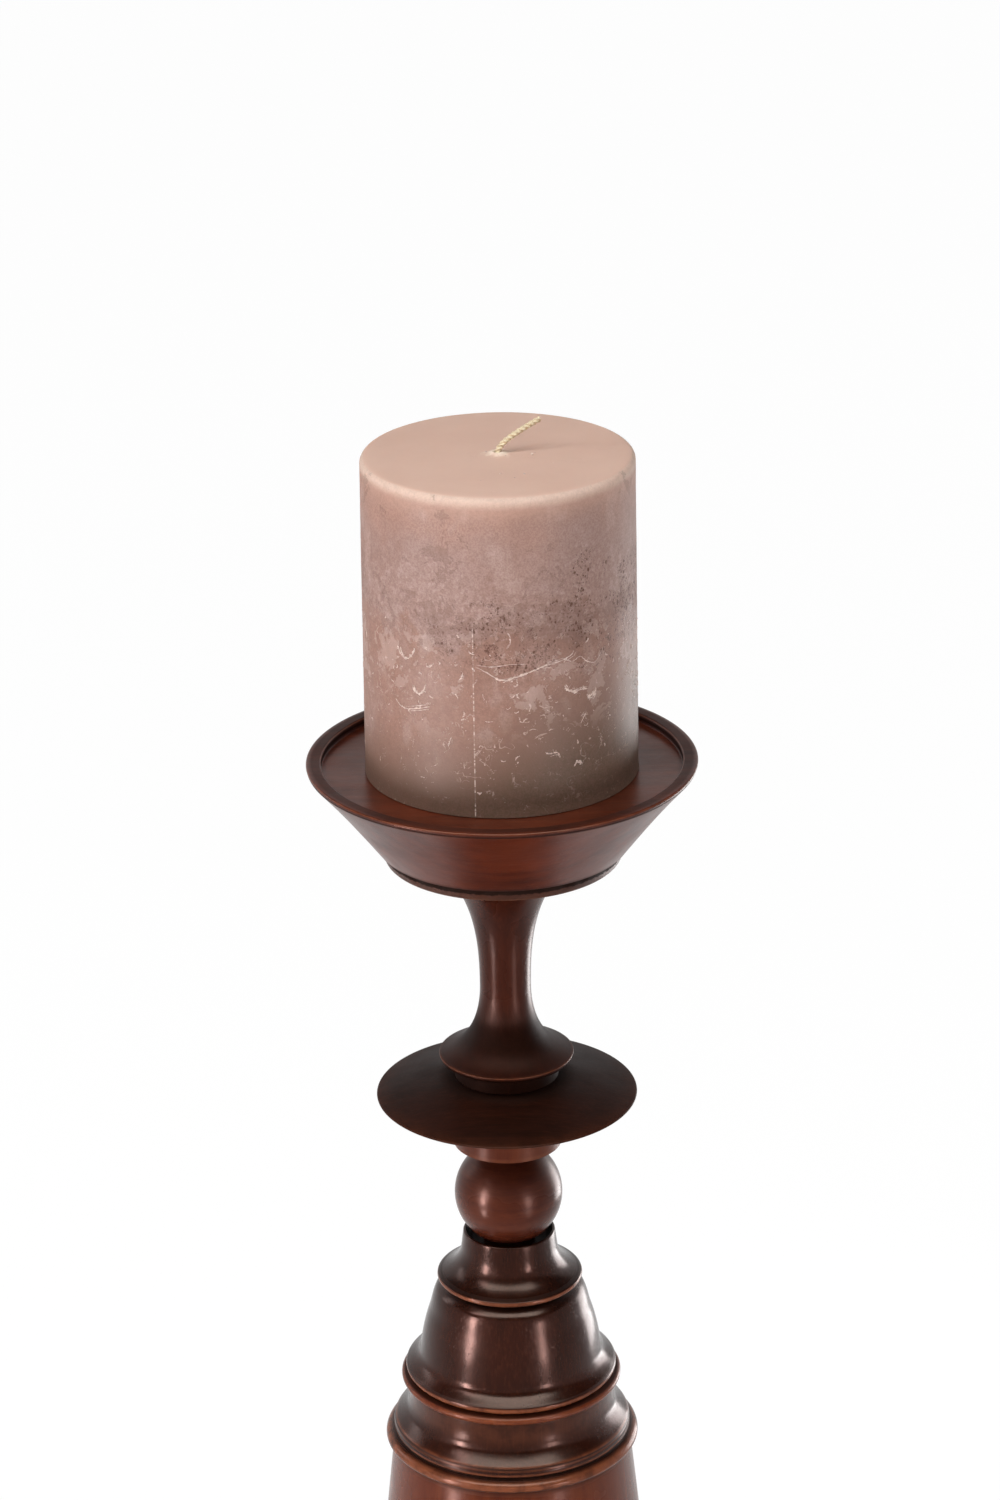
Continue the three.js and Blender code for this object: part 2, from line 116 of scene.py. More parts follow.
TRAY_R, TRAY_H, TRAY_FOOT_R, TRAY_RIM_WIDTH = 72.5, 33.6, 46.6, 5.6
TRAY_RIM_EDGE, TRAY_RIM_ROUND, TRAY_RIM_FLARE, TRAY_RECESS = 1.8, 0.7, 0.3, 3.25
CANDLE_R, CANDLE_TAPER, CANDLE_H, CANDLE_ROUND = 50, 0.6, 121.4, 2.5
WICK_R, WICK_RISE, WICK_LEAN, WICK_DRIFT, WICK_START = 1.15, 12.4, 15.6, 2, 1
ROD_BORE_R = 4.6
INSERT_R, INSERT_H, INSERT_LEDGE = 6, 13, 1.5

# Spigots, each under the piece it is named for: radius and length
FOOT_SPIGOT = (24, 4)
COLUMN_SPIGOT = (20, 8)
SHOULDER_SPIGOT = (18, 12)
BELL_SPIGOT = (16, 7)
CUP_SPIGOT = (13, 7)
BALL_SPIGOT = (7.2, 6)
COLLAR_SPIGOT = (7.2, 6)
DISC_SPIGOT = (11, 6)
NECK_SPIGOT = (11, 6)
TRAY_SPIGOT = (10, 12)

# Feet of the pieces, from the table up
PLINTH_Z = PAD_H + SEAM
FOOT_Z = PLINTH_Z + PLINTH_H + SEAM
FOOT_BEAD_Z = FOOT_Z + FOOT_H + SEAM
COLUMN_Z = FOOT_BEAD_Z + FOOT_BEAD_H + SEAM
SHOULDER_Z = COLUMN_Z + COLUMN_H + SEAM
BEAD_RING_Z = SHOULDER_Z + SHOULDER_H + SEAM
BELL_Z = BEAD_RING_Z + BEAD_RING_H + SEAM
CUP_Z = BELL_Z + BELL_H + SEAM
BALL_Z = CUP_Z + CUP_H - CUP_RECESS + SEAM
BALL_STUB_DROP = math.sqrt(BALL_R ** 2 - BALL_STUB_R ** 2)
BALL_MIDDLE_H = BALL_FOOT_STUB_H + BALL_STUB_DROP
BALL_H = BALL_MIDDLE_H + BALL_STUB_DROP + BALL_TOP_STUB_H
COLLAR_Z = BALL_Z + BALL_H + SEAM
DISC_Z = COLLAR_Z + COLLAR_H + SEAM
NECK_Z = DISC_Z + DISC_H + SEAM
PLATE_Z = NECK_Z + NECK_H + SEAM
TRAY_Z = PLATE_Z + PLATE_H + SEAM
CANDLE_Z = TRAY_Z + TRAY_H - TRAY_RECESS + SEAM


# Facets round the turned axis
FACETS_WIDEST = 256
FACETS_WIDE = 224
FACETS_MIDDLE = 192
FACETS_SLIM = 160
FACETS_PAD = 72

# Mesh steps along an outline
CURVE_STEP = 0.9
CURVE_FEWEST_STEPS = 6
STRAIGHT_STEP = 2.0
CORNER_R = 0.35
CORNER_SHARE = 0.45  # the most that a corner takes from the line on either side
CORNER_STEPS = 4
CORNER_BEND = math.radians(20)  # a gentler bend isn't a corner
HIDDEN_SHADE = 0.6  # painted shade inside sockets and bores
TINY = 1e-6


class Outline:
    """An outline of radius and height, drawn up the outside. Angles: 0 outwards, 90 up, 180 to the axis."""

    def __init__(self, r, z):
        self.points = [(r, z)]

    def line(self, r, z):
        self.points.append((r, z))
        return self

    def curve(self, r, z, leave, arrive, pull=0.38):
        r0, z0 = self.points[-1]
        reach = math.hypot(r - r0, z - z0) * pull
        a, b = math.radians(leave), math.radians(arrive)
        r1, z1 = r0 + reach * math.cos(a), z0 + reach * math.sin(a)
        r2, z2 = r - reach * math.cos(b), z - reach * math.sin(b)
        steps = max(CURVE_FEWEST_STEPS, round(math.hypot(r - r0, z - z0) / CURVE_STEP))
        for i in range(1, steps + 1):
            t = i / steps
            u = 1 - t
            w = (u ** 3, 3 * u * u * t, 3 * u * t * t, t ** 3)
            self.points.append((
                w[0] * r0 + w[1] * r1 + w[2] * r2 + w[3] * r,
                w[0] * z0 + w[1] * z1 + w[2] * z2 + w[3] * z))
        return self


def soften(points):
    """Rounds each corner of an outline."""
    out = [points[0]]
    for before, at, after in zip(points, points[1:], points[2:]):
        p, q, s = Vector(before), Vector(at), Vector(after)
        a, b = p - q, s - q
        if a.length < TINY or b.length < TINY:
            continue
        if math.pi - a.angle(b) < CORNER_BEND:
            out.append(at)
            continue
        cut = min(CORNER_R, a.length * CORNER_SHARE, b.length * CORNER_SHARE)
        start, end = q + a.normalized() * cut, q + b.normalized() * cut
        for i in range(CORNER_STEPS + 1):
            t = i / CORNER_STEPS
            out.append(tuple((1 - t) ** 2 * start + 2 * t * (1 - t) * q + t * t * end))
    out.append(points[-1])
    return out


def split_long(points):
    """Adds points along straight stretches, so that the marks on the mesh have somewhere to sit."""
    out = [points[0]]
    for p, q in zip(points, points[1:]):
        dr, dz = q[0] - p[0], q[1] - p[1]
        n = max(1, math.ceil(math.hypot(dr, dz) / STRAIGHT_STEP))
        out += [(p[0] + dr * i / n, p[1] + dz * i / n) for i in range(1, n + 1)]
    return out


def smoothstep(low, high, x):
    """0 at low, 1 at high, with a smooth run between them."""
    t = min(1, max(0, (x - low) / (high - low)))
    return t * t * (3 - 2 * t)


def band(x, low, high, soft):
    """1 between low and high, 0 outside, with soft ends."""
    return smoothstep(low - soft, low + soft, x) * (1 - smoothstep(high - soft, high + soft, x))


def marked(bands, r, h):
    """The strongest mark at a radius and height."""
    here = [strength * band(h, low, high, soft)
            for low, high, soft, strength, *farthest in bands if not farthest or r <= farthest[0]]
    return max(here or [0])


def lathe(name, outer, inner, z, facets, rubbed=(), dirty=(), shape=None):
    """Turns the outer outline, closed by the inner one, into a mesh with two marks at each vertex: wear with
    painted light, and painted shade with dirt.

    Of the two lists of marks, the first is worn edges, with painted highlights and painted lit bands in places,
    and the second is painted shade in seams, crevices and under overhangs, with some dark joints and grime. Each
    mark is (lowest height, highest height, softness, strength) in the piece's own millimetres, followed by a
    largest radius where the mark keeps to the inside of the piece. shape moves the outer points: it takes and
    gives a radius and height, and is also given the angle.
    """
    outer = split_long(soften(outer))
    on_axis = not inner
    points = outer + list(inner)
    bm = bmesh.new()
    wear_and_light = bm.verts.layers.float.new("wear_and_light")
    dirt = bm.verts.layers.float.new("dirt")
    rings = []
    for k, (r, h) in enumerate(points):
        shown = k < len(outer)
        worn_and_lit = marked(rubbed, r, h) if shown else 0
        shade_and_grime = marked(dirty, r, h) if shown else HIDDEN_SHADE
        if on_axis and r < TINY:
            ring = [bm.verts.new((0, 0, (z + h) * MM))]
        else:
            ring = []
            for j in range(facets):
                a = 2 * math.pi * j / facets
                rr, hh = shape(r, h, a) if shape and shown else (r, h)
                ring.append(bm.verts.new((rr * math.cos(a) * MM, rr * math.sin(a) * MM, (z + hh) * MM)))
        for v in ring:
            v[wear_and_light], v[dirt] = worn_and_lit, shade_and_grime
        rings.append(ring)
    pairs = list(zip(rings, rings[1:])) + ([] if on_axis else [(rings[-1], rings[0])])
    for low, high in pairs:
        for j in range(facets):
            k = (j + 1) % facets
            if len(low) == 1:
                bm.faces.new((low[0], high[k], high[j]))
            elif len(high) == 1:
                bm.faces.new((low[j], low[k], high[0]))
            else:
                bm.faces.new((low[j], low[k], high[k], high[j]))
    bmesh.ops.recalc_face_normals(bm, faces=bm.faces)
    return finish_mesh(name, bm)


def skin(bm, rings):
    """Closes rings of vertices into a tube with two flat ends."""
    for low, high in zip(rings, rings[1:]):
        for j in range(len(low)):
            k = (j + 1) % len(low)
            bm.faces.new((low[j], low[k], high[k], high[j]))
    bm.faces.new(rings[0][::-1])
    bm.faces.new(rings[-1])


def finish_mesh(name, bm, sharp=38):
    """Turns a bmesh into a linked object, smooth up to the sharp angle in degrees."""
    data = bpy.data.meshes.new(name)
    bm.to_mesh(data)
    bm.free()
    data.shade_smooth()
    data.set_sharp_from_angle(angle=math.radians(sharp))
    piece = bpy.data.objects.new(name, data)
    bpy.context.scene.collection.objects.link(piece)
    return piece


def dress(piece, material, node, body="holder"):
    """Gives a piece its material and body, and hides the CAD node that it replaces, if any."""
    piece.data.materials.append(material)
    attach(piece, body)
    if node:
        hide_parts(node)


def inside(outline, spigot, above, bore):
    """The hidden part of a turned piece's outline, from its top back round to its foot."""
    foot, top = outline[0][1], outline[-1][1]
    points = []
    if above:
        r, depth = above[0] + SLIP, above[1] + SPARE
        points += [(r, top), (r, top - depth), (bore, top - depth)]
    else:
        points.append((bore, top))
    if spigot:
        points += [(bore, foot - spigot[1]), (spigot[0], foot - spigot[1]), (spigot[0], foot)]
    else:
        points.append((bore, foot))
    return points


def through(spigot, ring_height):
    """A spigot that reaches its socket through a ring."""
    return (spigot[0], spigot[1] + ring_height + 2 * SEAM)


# Node-tree helpers


class Tree:
    """Short names for building a material's nodes."""

    def __init__(self, name):
        self.material = bpy.data.materials.new(name)
        self.material.use_nodes = True
        self.nodes = self.material.node_tree.nodes
        self.links = self.material.node_tree.links
        self.shader = self.nodes["Principled BSDF"]

    def node(self, kind, **values):
        n = self.nodes.new(kind)
        for key, value in values.items():
            setattr(n, key, value)
        return n

    def put(self, socket, value):
        if isinstance(value, bpy.types.NodeSocket):
            self.links.new(value, socket)
        else:
            socket.default_value = value

    def place(self, scale=(1, 1, 1), shift=(0, 0, 0)):
        m = self.node("ShaderNodeMapping")
        self.links.new(self.node("ShaderNodeTexCoord").outputs["Object"], m.inputs["Vector"])
        m.inputs["Scale"].default_value = scale
        m.inputs["Location"].default_value = shift
        return m.outputs["Vector"]

    def noise(self, vector, scale, detail=3.0, rough=0.55, distortion=0.0):
        n = self.node("ShaderNodeTexNoise")
        self.put(n.inputs["Vector"], vector)
        n.inputs["Scale"].default_value = scale
        n.inputs["Detail"].default_value = detail
        n.inputs["Roughness"].default_value = rough
        n.inputs["Distortion"].default_value = distortion
        return n.outputs["Fac"]

    def cells(self, vector, scale):
        n = self.node("ShaderNodeTexVoronoi")
        self.put(n.inputs["Vector"], vector)
        n.inputs["Scale"].default_value = scale
        return n.outputs["Distance"]

    def warp(self, vector, scale, reach):
        """Shifts a vector by a noise of its own, up to about the reach."""
        n = self.node("ShaderNodeTexNoise")
        self.put(n.inputs["Vector"], vector)
        n.inputs["Scale"].default_value = scale
        shift = self.node("ShaderNodeVectorMath", operation="MULTIPLY_ADD")
        self.put(shift.inputs[0], n.outputs["Color"])
        shift.inputs[1].default_value = (reach, reach, reach)
        self.put(shift.inputs[2], vector)
        return shift.outputs[0]

    def math(self, operation, a, b=0.0, clamp=False):
        n = self.node("ShaderNodeMath", operation=operation, use_clamp=clamp)
        self.put(n.inputs[0], a)
        self.put(n.inputs[1], b)
        return n.outputs[0]

    def ramp(self, value, low, high, out_low=0.0, out_high=1.0):
        """out_low up to low, out_high from high on, and a smooth run between them."""
        n = self.node("ShaderNodeMapRange", interpolation_type="SMOOTHSTEP")
        self.put(n.inputs["Value"], value)
        for name, v in (("From Min", low), ("From Max", high), ("To Min", out_low), ("To Max", out_high)):
            n.inputs[name].default_value = v
        return n.outputs["Result"]

    def mix(self, factor, a, b):
        n = self.node("ShaderNodeMix", data_type="RGBA")
        self.put(n.inputs["Factor"], factor)
        self.put(n.inputs["A"], a)
        self.put(n.inputs["B"], b)
        return n.outputs["Result"]

    def mark(self, name):
        """One of the marks that lathe leaves on the mesh: wear with painted light, and painted shade with dirt."""
        return self.node("ShaderNodeAttribute", attribute_name=name).outputs["Fac"]

    def separate(self, vector):
        n = self.node("ShaderNodeSeparateXYZ")
        self.put(n.inputs[0], vector)
        return n.outputs

    def bump(self, height, strength, distance, normal=None):
        n = self.node("ShaderNodeBump")
        self.put(n.inputs["Height"], height)
        n.inputs["Strength"].default_value = strength
        n.inputs["Distance"].default_value = distance
        if normal:
            self.links.new(normal, n.inputs["Normal"])
        return n.outputs["Normal"]

    def shade(self, name, value):
        self.put(self.shader.inputs[name], value)


def color(text):
    """An sRGB colour such as 6b3d2b as linear values."""
    channels = [int(text[i:i + 2], 16) / 255 for i in (0, 2, 4)]
    return tuple(c / 12.92 if c <= 0.04045 else ((c + 0.055) / 1.055) ** 2.4 for c in channels) + (1,)


GRAIN_UP = (1, 1, 0.05)  # grain along the turned axis
GRAIN_ACROSS = (0.06, 1, 1)  # faceplate turning, grain along X
GRAIN_ROUND = (0.12, 0.12, 1)
PORE_COLOR = color("120704")
# near black, for painted shade in seams and under overhangs, with some grime
SHADE_AND_GRIME_COLOR = color("0c0503")
LACQUER_TINT = (1.0, 0.56, 0.48, 1)
SHADE_AND_GRIME_TINT = (0.2, 0.1, 0.08, 1)  # of the gloss: painted shade, with some grime, dims the reflections


def wood(name, dark, light, worn_and_lit, across=GRAIN_UP, roughness=0.2, gloss=0.24, seed=0.0, ragged=0.0):
    """Stained, lacquered hardwood. across squeezes the grain's direction, ragged breaks up the edge of the painted
    shade and grime.
    """
    t = Tree(name)
    shift = (seed, seed * 0.7, seed * 1.3)
    grain_place = t.place(scale=across, shift=shift)
    even_place = t.place(shift=shift)
    streak = t.noise(grain_place, 260, 4, 0.6, 0.4)
    fibre = t.noise(grain_place, 1300, 3, 0.65)
    pore = t.noise(grain_place, 3000, 2, 0.5)
    stain = t.noise(even_place, 26, 3, 0.5)
    base = t.mix(t.ramp(streak, 0.25, 0.8, 0.0, 0.6), color(dark), color(light))
    base = t.mix(t.ramp(stain, 0.38, 0.72, 0.0, 0.6), base, color(light))
    base = t.mix(t.ramp(fibre, 0.45, 0.75, 0.0, 0.07), base, color(worn_and_lit))
    pores = t.ramp(pore, 0.62, 0.74)
    base = t.mix(t.math("MULTIPLY", pores, 0.4), base, PORE_COLOR)

    # Rubbed edges, with painted highlights and painted lit bands in places, and painted shade with some grime
    patch = t.ramp(t.noise(even_place, 160, 3, 0.6), 0.3, 0.62)
    rub = t.math("MULTIPLY", t.mark("wear_and_light"), t.math("ADD", t.math("MULTIPLY", patch, 0.6), 0.4), True)
    base = t.mix(rub, base, color(worn_and_lit))
    shade_and_grime = t.mark("dirt")
    if ragged:
        edge = t.noise(t.place(scale=(1, 1, 0.6), shift=shift), 420, 5, 0.75)
        shade_and_grime = t.math("ADD", shade_and_grime, t.math("MULTIPLY", t.math("SUBTRACT", edge, 0.5), ragged))
        shade_and_grime = t.ramp(shade_and_grime, 0.3, 0.55)
    shade_and_grime = t.math("MULTIPLY", shade_and_grime, 0.85, True)
    # painted shade, with some grime, darkens the colour
    base = t.mix(shade_and_grime, base, SHADE_AND_GRIME_COLOR)
    t.shade("Base Color", base)

    # Lacquer, with turning rings under it
    wet = t.noise(even_place, 70, 2, 0.5)
    satin = t.ramp(wet, 0.3, 0.75, roughness - 0.02, roughness + 0.05)
    t.shade("Roughness", t.math("ADD", satin, t.math("MULTIPLY", shade_and_grime, 0.4), True))
    t.shade("Specular IOR Level", gloss)
    t.shade("Specular Tint", t.mix(t.ramp(shade_and_grime, 0.5, 0.8), LACQUER_TINT, SHADE_AND_GRIME_TINT))
    rise = t.math("ADD", t.math("MULTIPLY", fibre, 0.5), t.math("MULTIPLY", pores, -0.9))
    rings = t.noise(t.place(scale=(0.02, 0.02, 1), shift=shift), 2400, 2, 0.6)
    waves = t.bump(t.noise(even_place, 260, 2, 0.5), 0.12, 0.0003)
    t.shade("Normal", t.bump(rise, 0.22, 0.00012, t.bump(rings, 0.3, 0.00005, waves)))
    return t.material


spindle_dark = wood("spindle_wood_dark", "140502", "2b0f06", "7a432b")
neck_wood = wood("neck_wood", "2c0e06", "431a0d", "7a432b", roughness=0.27, gloss=0.17, seed=0.57)
spindle_warm = wood("spindle_wood_warm", "47190c", "663018", "8a4c2f", roughness=0.24, seed=0.31)
ball_wood = wood("ball_wood", "34110a", "5a2814", "84472c", GRAIN_ROUND, roughness=0.24, seed=0.9)
tray_wood = wood("tray_wood", "330e05", "602612", "8f5a40", GRAIN_ACROSS, roughness=0.3, seed=0.77)
plate_wood = wood("plate_wood", "260d07", "43200f", "94644c", GRAIN_ACROSS, roughness=0.4, seed=1.3, ragged=1.2)
disc_wood = wood("disc_wood", "150502", "2a1008", "6a3822", GRAIN_ACROSS, roughness=0.5, gloss=0.09, seed=2.1)


WAX_SCATTER = (1.0, 0.55, 0.4)
MOULD_SEAM_X = -0.0098


def wax_material():
    """Mottled wax with a bloomed skin above, pits in its middle and scratches lower down."""
    t = Tree("rustic_wax")
    place = t.place()
    x, y, z = t.separate(place)
    down = t.math("MULTIPLY", t.math("SUBTRACT", candle_top, z), 1 / MM)  # millimetres below the top
    wander = t.math("ADD", down, t.ramp(t.noise(place, 24, 3), 0.2, 0.8, -12, 12))
    ragged = t.math("ADD", wander, t.ramp(t.noise(place, 170, 4, 0.6), 0.2, 0.8, -6, 6))

    def line(value, middle, width):
        away = t.math("ABSOLUTE", t.math("SUBTRACT", value, middle))
        return t.ramp(t.math("DIVIDE", away, width), 0.4, 1, 1, 0)

    # Body: pale and bloomed above, browner below and dark at the foot, partly dye and partly painted shade
    body = t.mix(t.ramp(wander, 6, 26), color("ae8779"), color("a4857c"))
    bloom = t.ramp(ragged, 50, 58, 1, 0)
    body = t.mix(bloom, color("9c7567"), body)
    body = t.mix(t.ramp(t.noise(place, 46, 4, 0.6), 0.46, 0.7, 0, 0.4), body, color("ae9088"))
    body = t.mix(t.ramp(t.noise(place, 34, 3, 0.6, 0.5), 0.5, 0.72, 0, 0.4), body, color("8f6a5d"))
    body = t.mix(t.ramp(t.noise(t.place(scale=(1, 1, 0.55)), 90, 2), 0.56, 0.7, 0, 0.4), body, color("c2a59b"))
    browned_and_shaded = t.math("ADD", t.math("MULTIPLY", wander, 0.4), t.math("MULTIPLY", down, 0.6))
    # the x term is painted shade: the right side darkens higher up
    browned_and_shaded = t.math("ADD", t.math("ADD", browned_and_shaded, 8), t.math("MULTIPLY", x, 340))
    body = t.mix(t.ramp(browned_and_shaded, 80, 110), body, color("7f6052"))
    body = t.mix(t.ramp(browned_and_shaded, 101, 124), body, color("5f4a3b"))
    stain = t.math("MULTIPLY", t.ramp(ragged, 40, 48), t.ramp(ragged, 58, 68, 1, 0))
    stain = t.math("MULTIPLY", stain, t.ramp(x, -0.02, 0.004))
    body = t.mix(t.math("MULTIPLY", stain, 0.55), body, color("8a6659"))
    # painted light: the paler, warmer band near the top stands for light glowing through the thin wax, the pale
    # line on the rounded edge for its highlight
    rim_glow = t.ramp(down, 1.2, 12, 1, 0)
    body = t.mix(t.math("MULTIPLY", rim_glow, 0.75), body, color("c19a88"))
    body = t.mix(t.ramp(down, 1.2, 5.2, 0.9, 0), body, color("dcbfaf"))
    grain = t.noise(place, 1500, 2, 0.6)
    shown = t.ramp(down, 3, 12, 0.1, 0.34)
    body = t.mix(t.math("MULTIPLY", t.ramp(grain, 0.4, 0.62), shown), body, color("7f5f55"))
    frost = t.math("MULTIPLY", bloom, t.ramp(t.noise(place, 520, 3, 0.7), 0.5, 0.66, 0, 0.3))
    frost = t.math("MULTIPLY", frost, t.ramp(wander, 14, 34))
    body = t.mix(frost, body, color("c9aca4"))

    # Ragged layers of the skin
    peel = t.math("ADD", t.noise(place, 70, 6, 0.7, 0.6), t.ramp(down, 20, 62, -0.1, 0.03))
    peel = t.math("MULTIPLY", t.ramp(peel, 0.5, 0.512), bloom)
    body = t.mix(t.math("MULTIPLY", peel, 0.3), body, color("6f5046"))
    mottle = t.noise(place, 420, 4, 0.7)
    mottle = t.math("MULTIPLY", t.ramp(mottle, 0.42, 0.62), t.ramp(down, 6, 40, 0.1, 0.3))
    body = t.mix(mottle, body, color("7a594d"))
    patchy = t.math("MULTIPLY", t.ramp(t.noise(place, 95, 5, 0.65, 0.4), 0.56, 0.575), t.ramp(down, 34, 60))
    patchy = t.math("MULTIPLY", patchy, t.ramp(down, 78, 96, 1, 0))
    body = t.mix(t.math("MULTIPLY", patchy, 0.3), body, color("c9aea4"))

    # Pits in the bloomed skin
    middle = t.math("MULTIPLY", t.ramp(wander, 22, 40), t.ramp(wander, 66, 84, 1, 0))
    cluster = t.math("MULTIPLY", middle, t.ramp(t.noise(place, 60, 4, 0.65), 0.34, 0.62))
    cluster = t.math("MULTIPLY", cluster, t.ramp(x, -0.03, 0.012, 0.3, 1))
    cluster = t.math("MULTIPLY", cluster, t.ramp(down, 64, 74, 1, 0.2))
    pit_size = t.ramp(t.noise(place, 300, 2), 0.42, 0.66, 0.1, 0.36)
    bent = t.warp(t.place(scale=(1, 1, 0.75)), 700, 0.0009)
    pit = t.math("LESS_THAN", t.cells(bent, 700), pit_size)
    crack = t.math("ABSOLUTE", t.math("SUBTRACT", t.noise(bent, 520, 4, 0.7), 0.5))
    crack = t.math("MULTIPLY", t.ramp(crack, 0.004, 0.014, 0.8, 0), t.ramp(t.noise(place, 240, 2), 0.5, 0.58))
    pit = t.math("MAXIMUM", pit, crack)
    speck = t.math("ADD", t.noise(bent, 1100, 4, 0.75), t.math("MULTIPLY", cluster, 0.07))
    pit = t.math("MAXIMUM", pit, t.ramp(speck, 0.625, 0.64))
    pit = t.math("MULTIPLY", pit, t.ramp(cluster, 0.15, 0.45))
    body = t.mix(t.math("MULTIPLY", pit, 0.8), body, color("553426"))

    # Flakes, crumbs and scratches lower down
    scraped = t.math("MULTIPLY", t.ramp(wander, 46, 58), t.ramp(wander, 92, 116, 1, 0.3))
    scratch_width = t.ramp(t.noise(place, 130, 2), 0.5, 0.72, 0.0001, 0.012)
    scratch = line(t.noise(t.place(scale=(1, 1, 1.5)), 80, 3, 0.5, 0.5), 0.5, scratch_width)
    flake_width = t.ramp(t.noise(place, 210, 2), 0.52, 0.74, 0.0001, 0.028)
    flake = line(t.noise(place, 260, 2, 0.5, 1.4), 0.57, flake_width)
    crumb_size = t.ramp(t.noise(place, 360, 2), 0.5, 0.7, 0.0, 0.22)
    crumb = t.math("LESS_THAN", t.cells(place, 760), crumb_size)
    chip = t.math("MULTIPLY", t.math("MAXIMUM", t.math("MAXIMUM", scratch, flake), crumb), scraped)

    # Mould seam down the front
    off = t.math("ABSOLUTE", t.math("ADD", x, -MOULD_SEAM_X))
    seam = t.math("MULTIPLY", t.ramp(off, 0.0001, 0.00032, 1, 0), t.ramp(down, 46, 52))
    seam = t.math("MULTIPLY", seam, t.math("LESS_THAN", y, 0.0))
    beads = t.ramp(t.noise(t.place(scale=(0.01, 0.01, 1)), 900, 2, 0.7), 0.48, 0.6, 0.12, 1)
    seam = t.math("MULTIPLY", seam, beads)
    body = t.mix(t.math("MULTIPLY", chip, 0.6), body, color("cdb0a4"))
    body = t.mix(t.math("MULTIPLY", seam, 0.85), body, color("e0c8bc"))
    chip = t.math("MAXIMUM", chip, seam)

    # Flat top, with a pale smear round the wick
    flat = t.ramp(down, 0.15, 0.5, 1, 0)
    top = t.mix(t.ramp(t.noise(place, 30, 3), 0.3, 0.7), color("cfab9a"), color("d3b09f"))
    body = t.mix(flat, body, top)
    from_wick = t.math("SQRT", t.math("ADD", t.math("MULTIPLY", x, x), t.math("MULTIPLY", y, y)))
    from_wick = t.math("ADD", from_wick, t.ramp(t.noise(place, 420, 3), 0.2, 0.8, -0.002, 0.002))
    smear = t.ramp(from_wick, 0.0015, 0.006, 0.8, 0)
    body = t.mix(t.math("MULTIPLY", smear, flat), body, color("ead7c4"))
    t.shade("Base Color", body)

    # Surface
    t.shade("Roughness", t.ramp(bloom, 0, 1, 0.55, 0.65))
    t.shade("Specular IOR Level", 0.22)
    t.shade("Subsurface Weight", 0.12)
    t.shade("Subsurface Radius", WAX_SCATTER)
    t.shade("Subsurface Scale", 0.003)
    rise = t.math("MULTIPLY", grain, t.ramp(down, 3, 12, 0.04, 0.3))
    rise = t.math("ADD", rise, t.math("MULTIPLY", bloom, 0.25))
    rise = t.math("SUBTRACT", rise, t.math("MULTIPLY", pit, 0.5))
    rise = t.math("ADD", rise, t.math("MULTIPLY", chip, 0.6))
    rise = t.math("SUBTRACT", rise, t.math("MULTIPLY", peel, 0.35))
    rise = t.math("ADD", rise, t.math("MULTIPLY", patchy, 0.3))
    t.shade("Normal", t.bump(rise, 0.6, 0.0005))
    return t.material


def cotton_material():
    t = Tree("waxed_cotton")
    place = t.place()
    fibre = t.noise(t.place(scale=(0.3, 1, 1)), 3200, 3, 0.6)
    t.shade("Base Color", t.mix(t.ramp(fibre, 0.35, 0.7), color("cdb48c"), color("f0e2c6")))
    t.shade("Roughness", t.ramp(t.noise(place, 900, 2), 0.3, 0.7, 0.6, 0.8))
    t.shade("Normal", t.bump(fibre, 0.5, 0.0001))
    return t.material


def felt_material():
    t = Tree("felt")
    place = t.place()
    fuzz = t.noise(place, 2400, 4, 0.7)
    t.shade("Base Color", t.mix(t.ramp(fuzz, 0.3, 0.7), color("211917"), color("443733")))
    t.shade("Roughness", 0.95)
    t.shade("Specular IOR Level", 0.15)
    t.shade("Sheen Weight", 0.3)
    t.shade("Normal", t.bump(fuzz, 0.8, 0.0004))
    return t.material


def zinc_material():
    t = Tree("zinc_plate")
    place = t.place()
    lines = t.noise(t.place(scale=(1, 1, 14)), 420, 3, 0.6)
    t.shade("Base Color", t.mix(t.ramp(t.noise(place, 180, 3), 0.3, 0.7), color("8f9396"), color("b9bcbd")))
    t.shade("Metallic", 1.0)
    t.shade("Roughness", t.ramp(lines, 0.3, 0.7, 0.3, 0.5))
    t.shade("Normal", t.bump(lines, 0.15, 0.0001))
    return t.material


# Turned wooden pieces


def turned(name, outline, z, facets, material, spigot, above, bore=ROD_BORE_R, **marks):
    """A bored piece on its own spigot, with a socket for the spigot of the piece above."""
    points = outline.points
    piece = lathe(name, points, inside(points, spigot, above, bore), z, facets, **marks)
    dress(piece, material, name.replace("turned_", ""))


def make_plinth():
    ledge = PLINTH_R - PLINTH_ROUND
    socket_r = FOOT_SPIGOT[0] + SLIP
    socket_z = PLINTH_H - FOOT_SPIGOT[1] - SPARE
    outline = (
        Outline(NUT_POCKET_R, 0)
        .line(PLINTH_R - PLINTH_CHAMFER, 0)
        .line(PLINTH_R, PLINTH_CHAMFER)
        .line(PLINTH_R, PLINTH_H - PLINTH_QUIRK - PLINTH_ROUND)
        .curve(ledge, PLINTH_H - PLINTH_QUIRK, 90, 180)
        .line(ledge, PLINTH_H)
        .line(socket_r, PLINTH_H))
    inner = [(socket_r, socket_z), (ROD_BORE_R, socket_z), (ROD_BORE_R, NUT_POCKET_DEPTH),
             (NUT_POCKET_R, NUT_POCKET_DEPTH)]
    piece = lathe("turned_base_plinth", outline.points, inner, PLINTH_Z, FACETS_WIDE,
                  # painted shade in the seam under the foot moulding
                  rubbed=[(0.6, 2.0, 0.5, 0.8), (12.5, 15, 1.5, 0.35)], dirty=[(18.9, 20.2, 0.4, 0.8)])
    dress(piece, spindle_dark, "base_plinth")


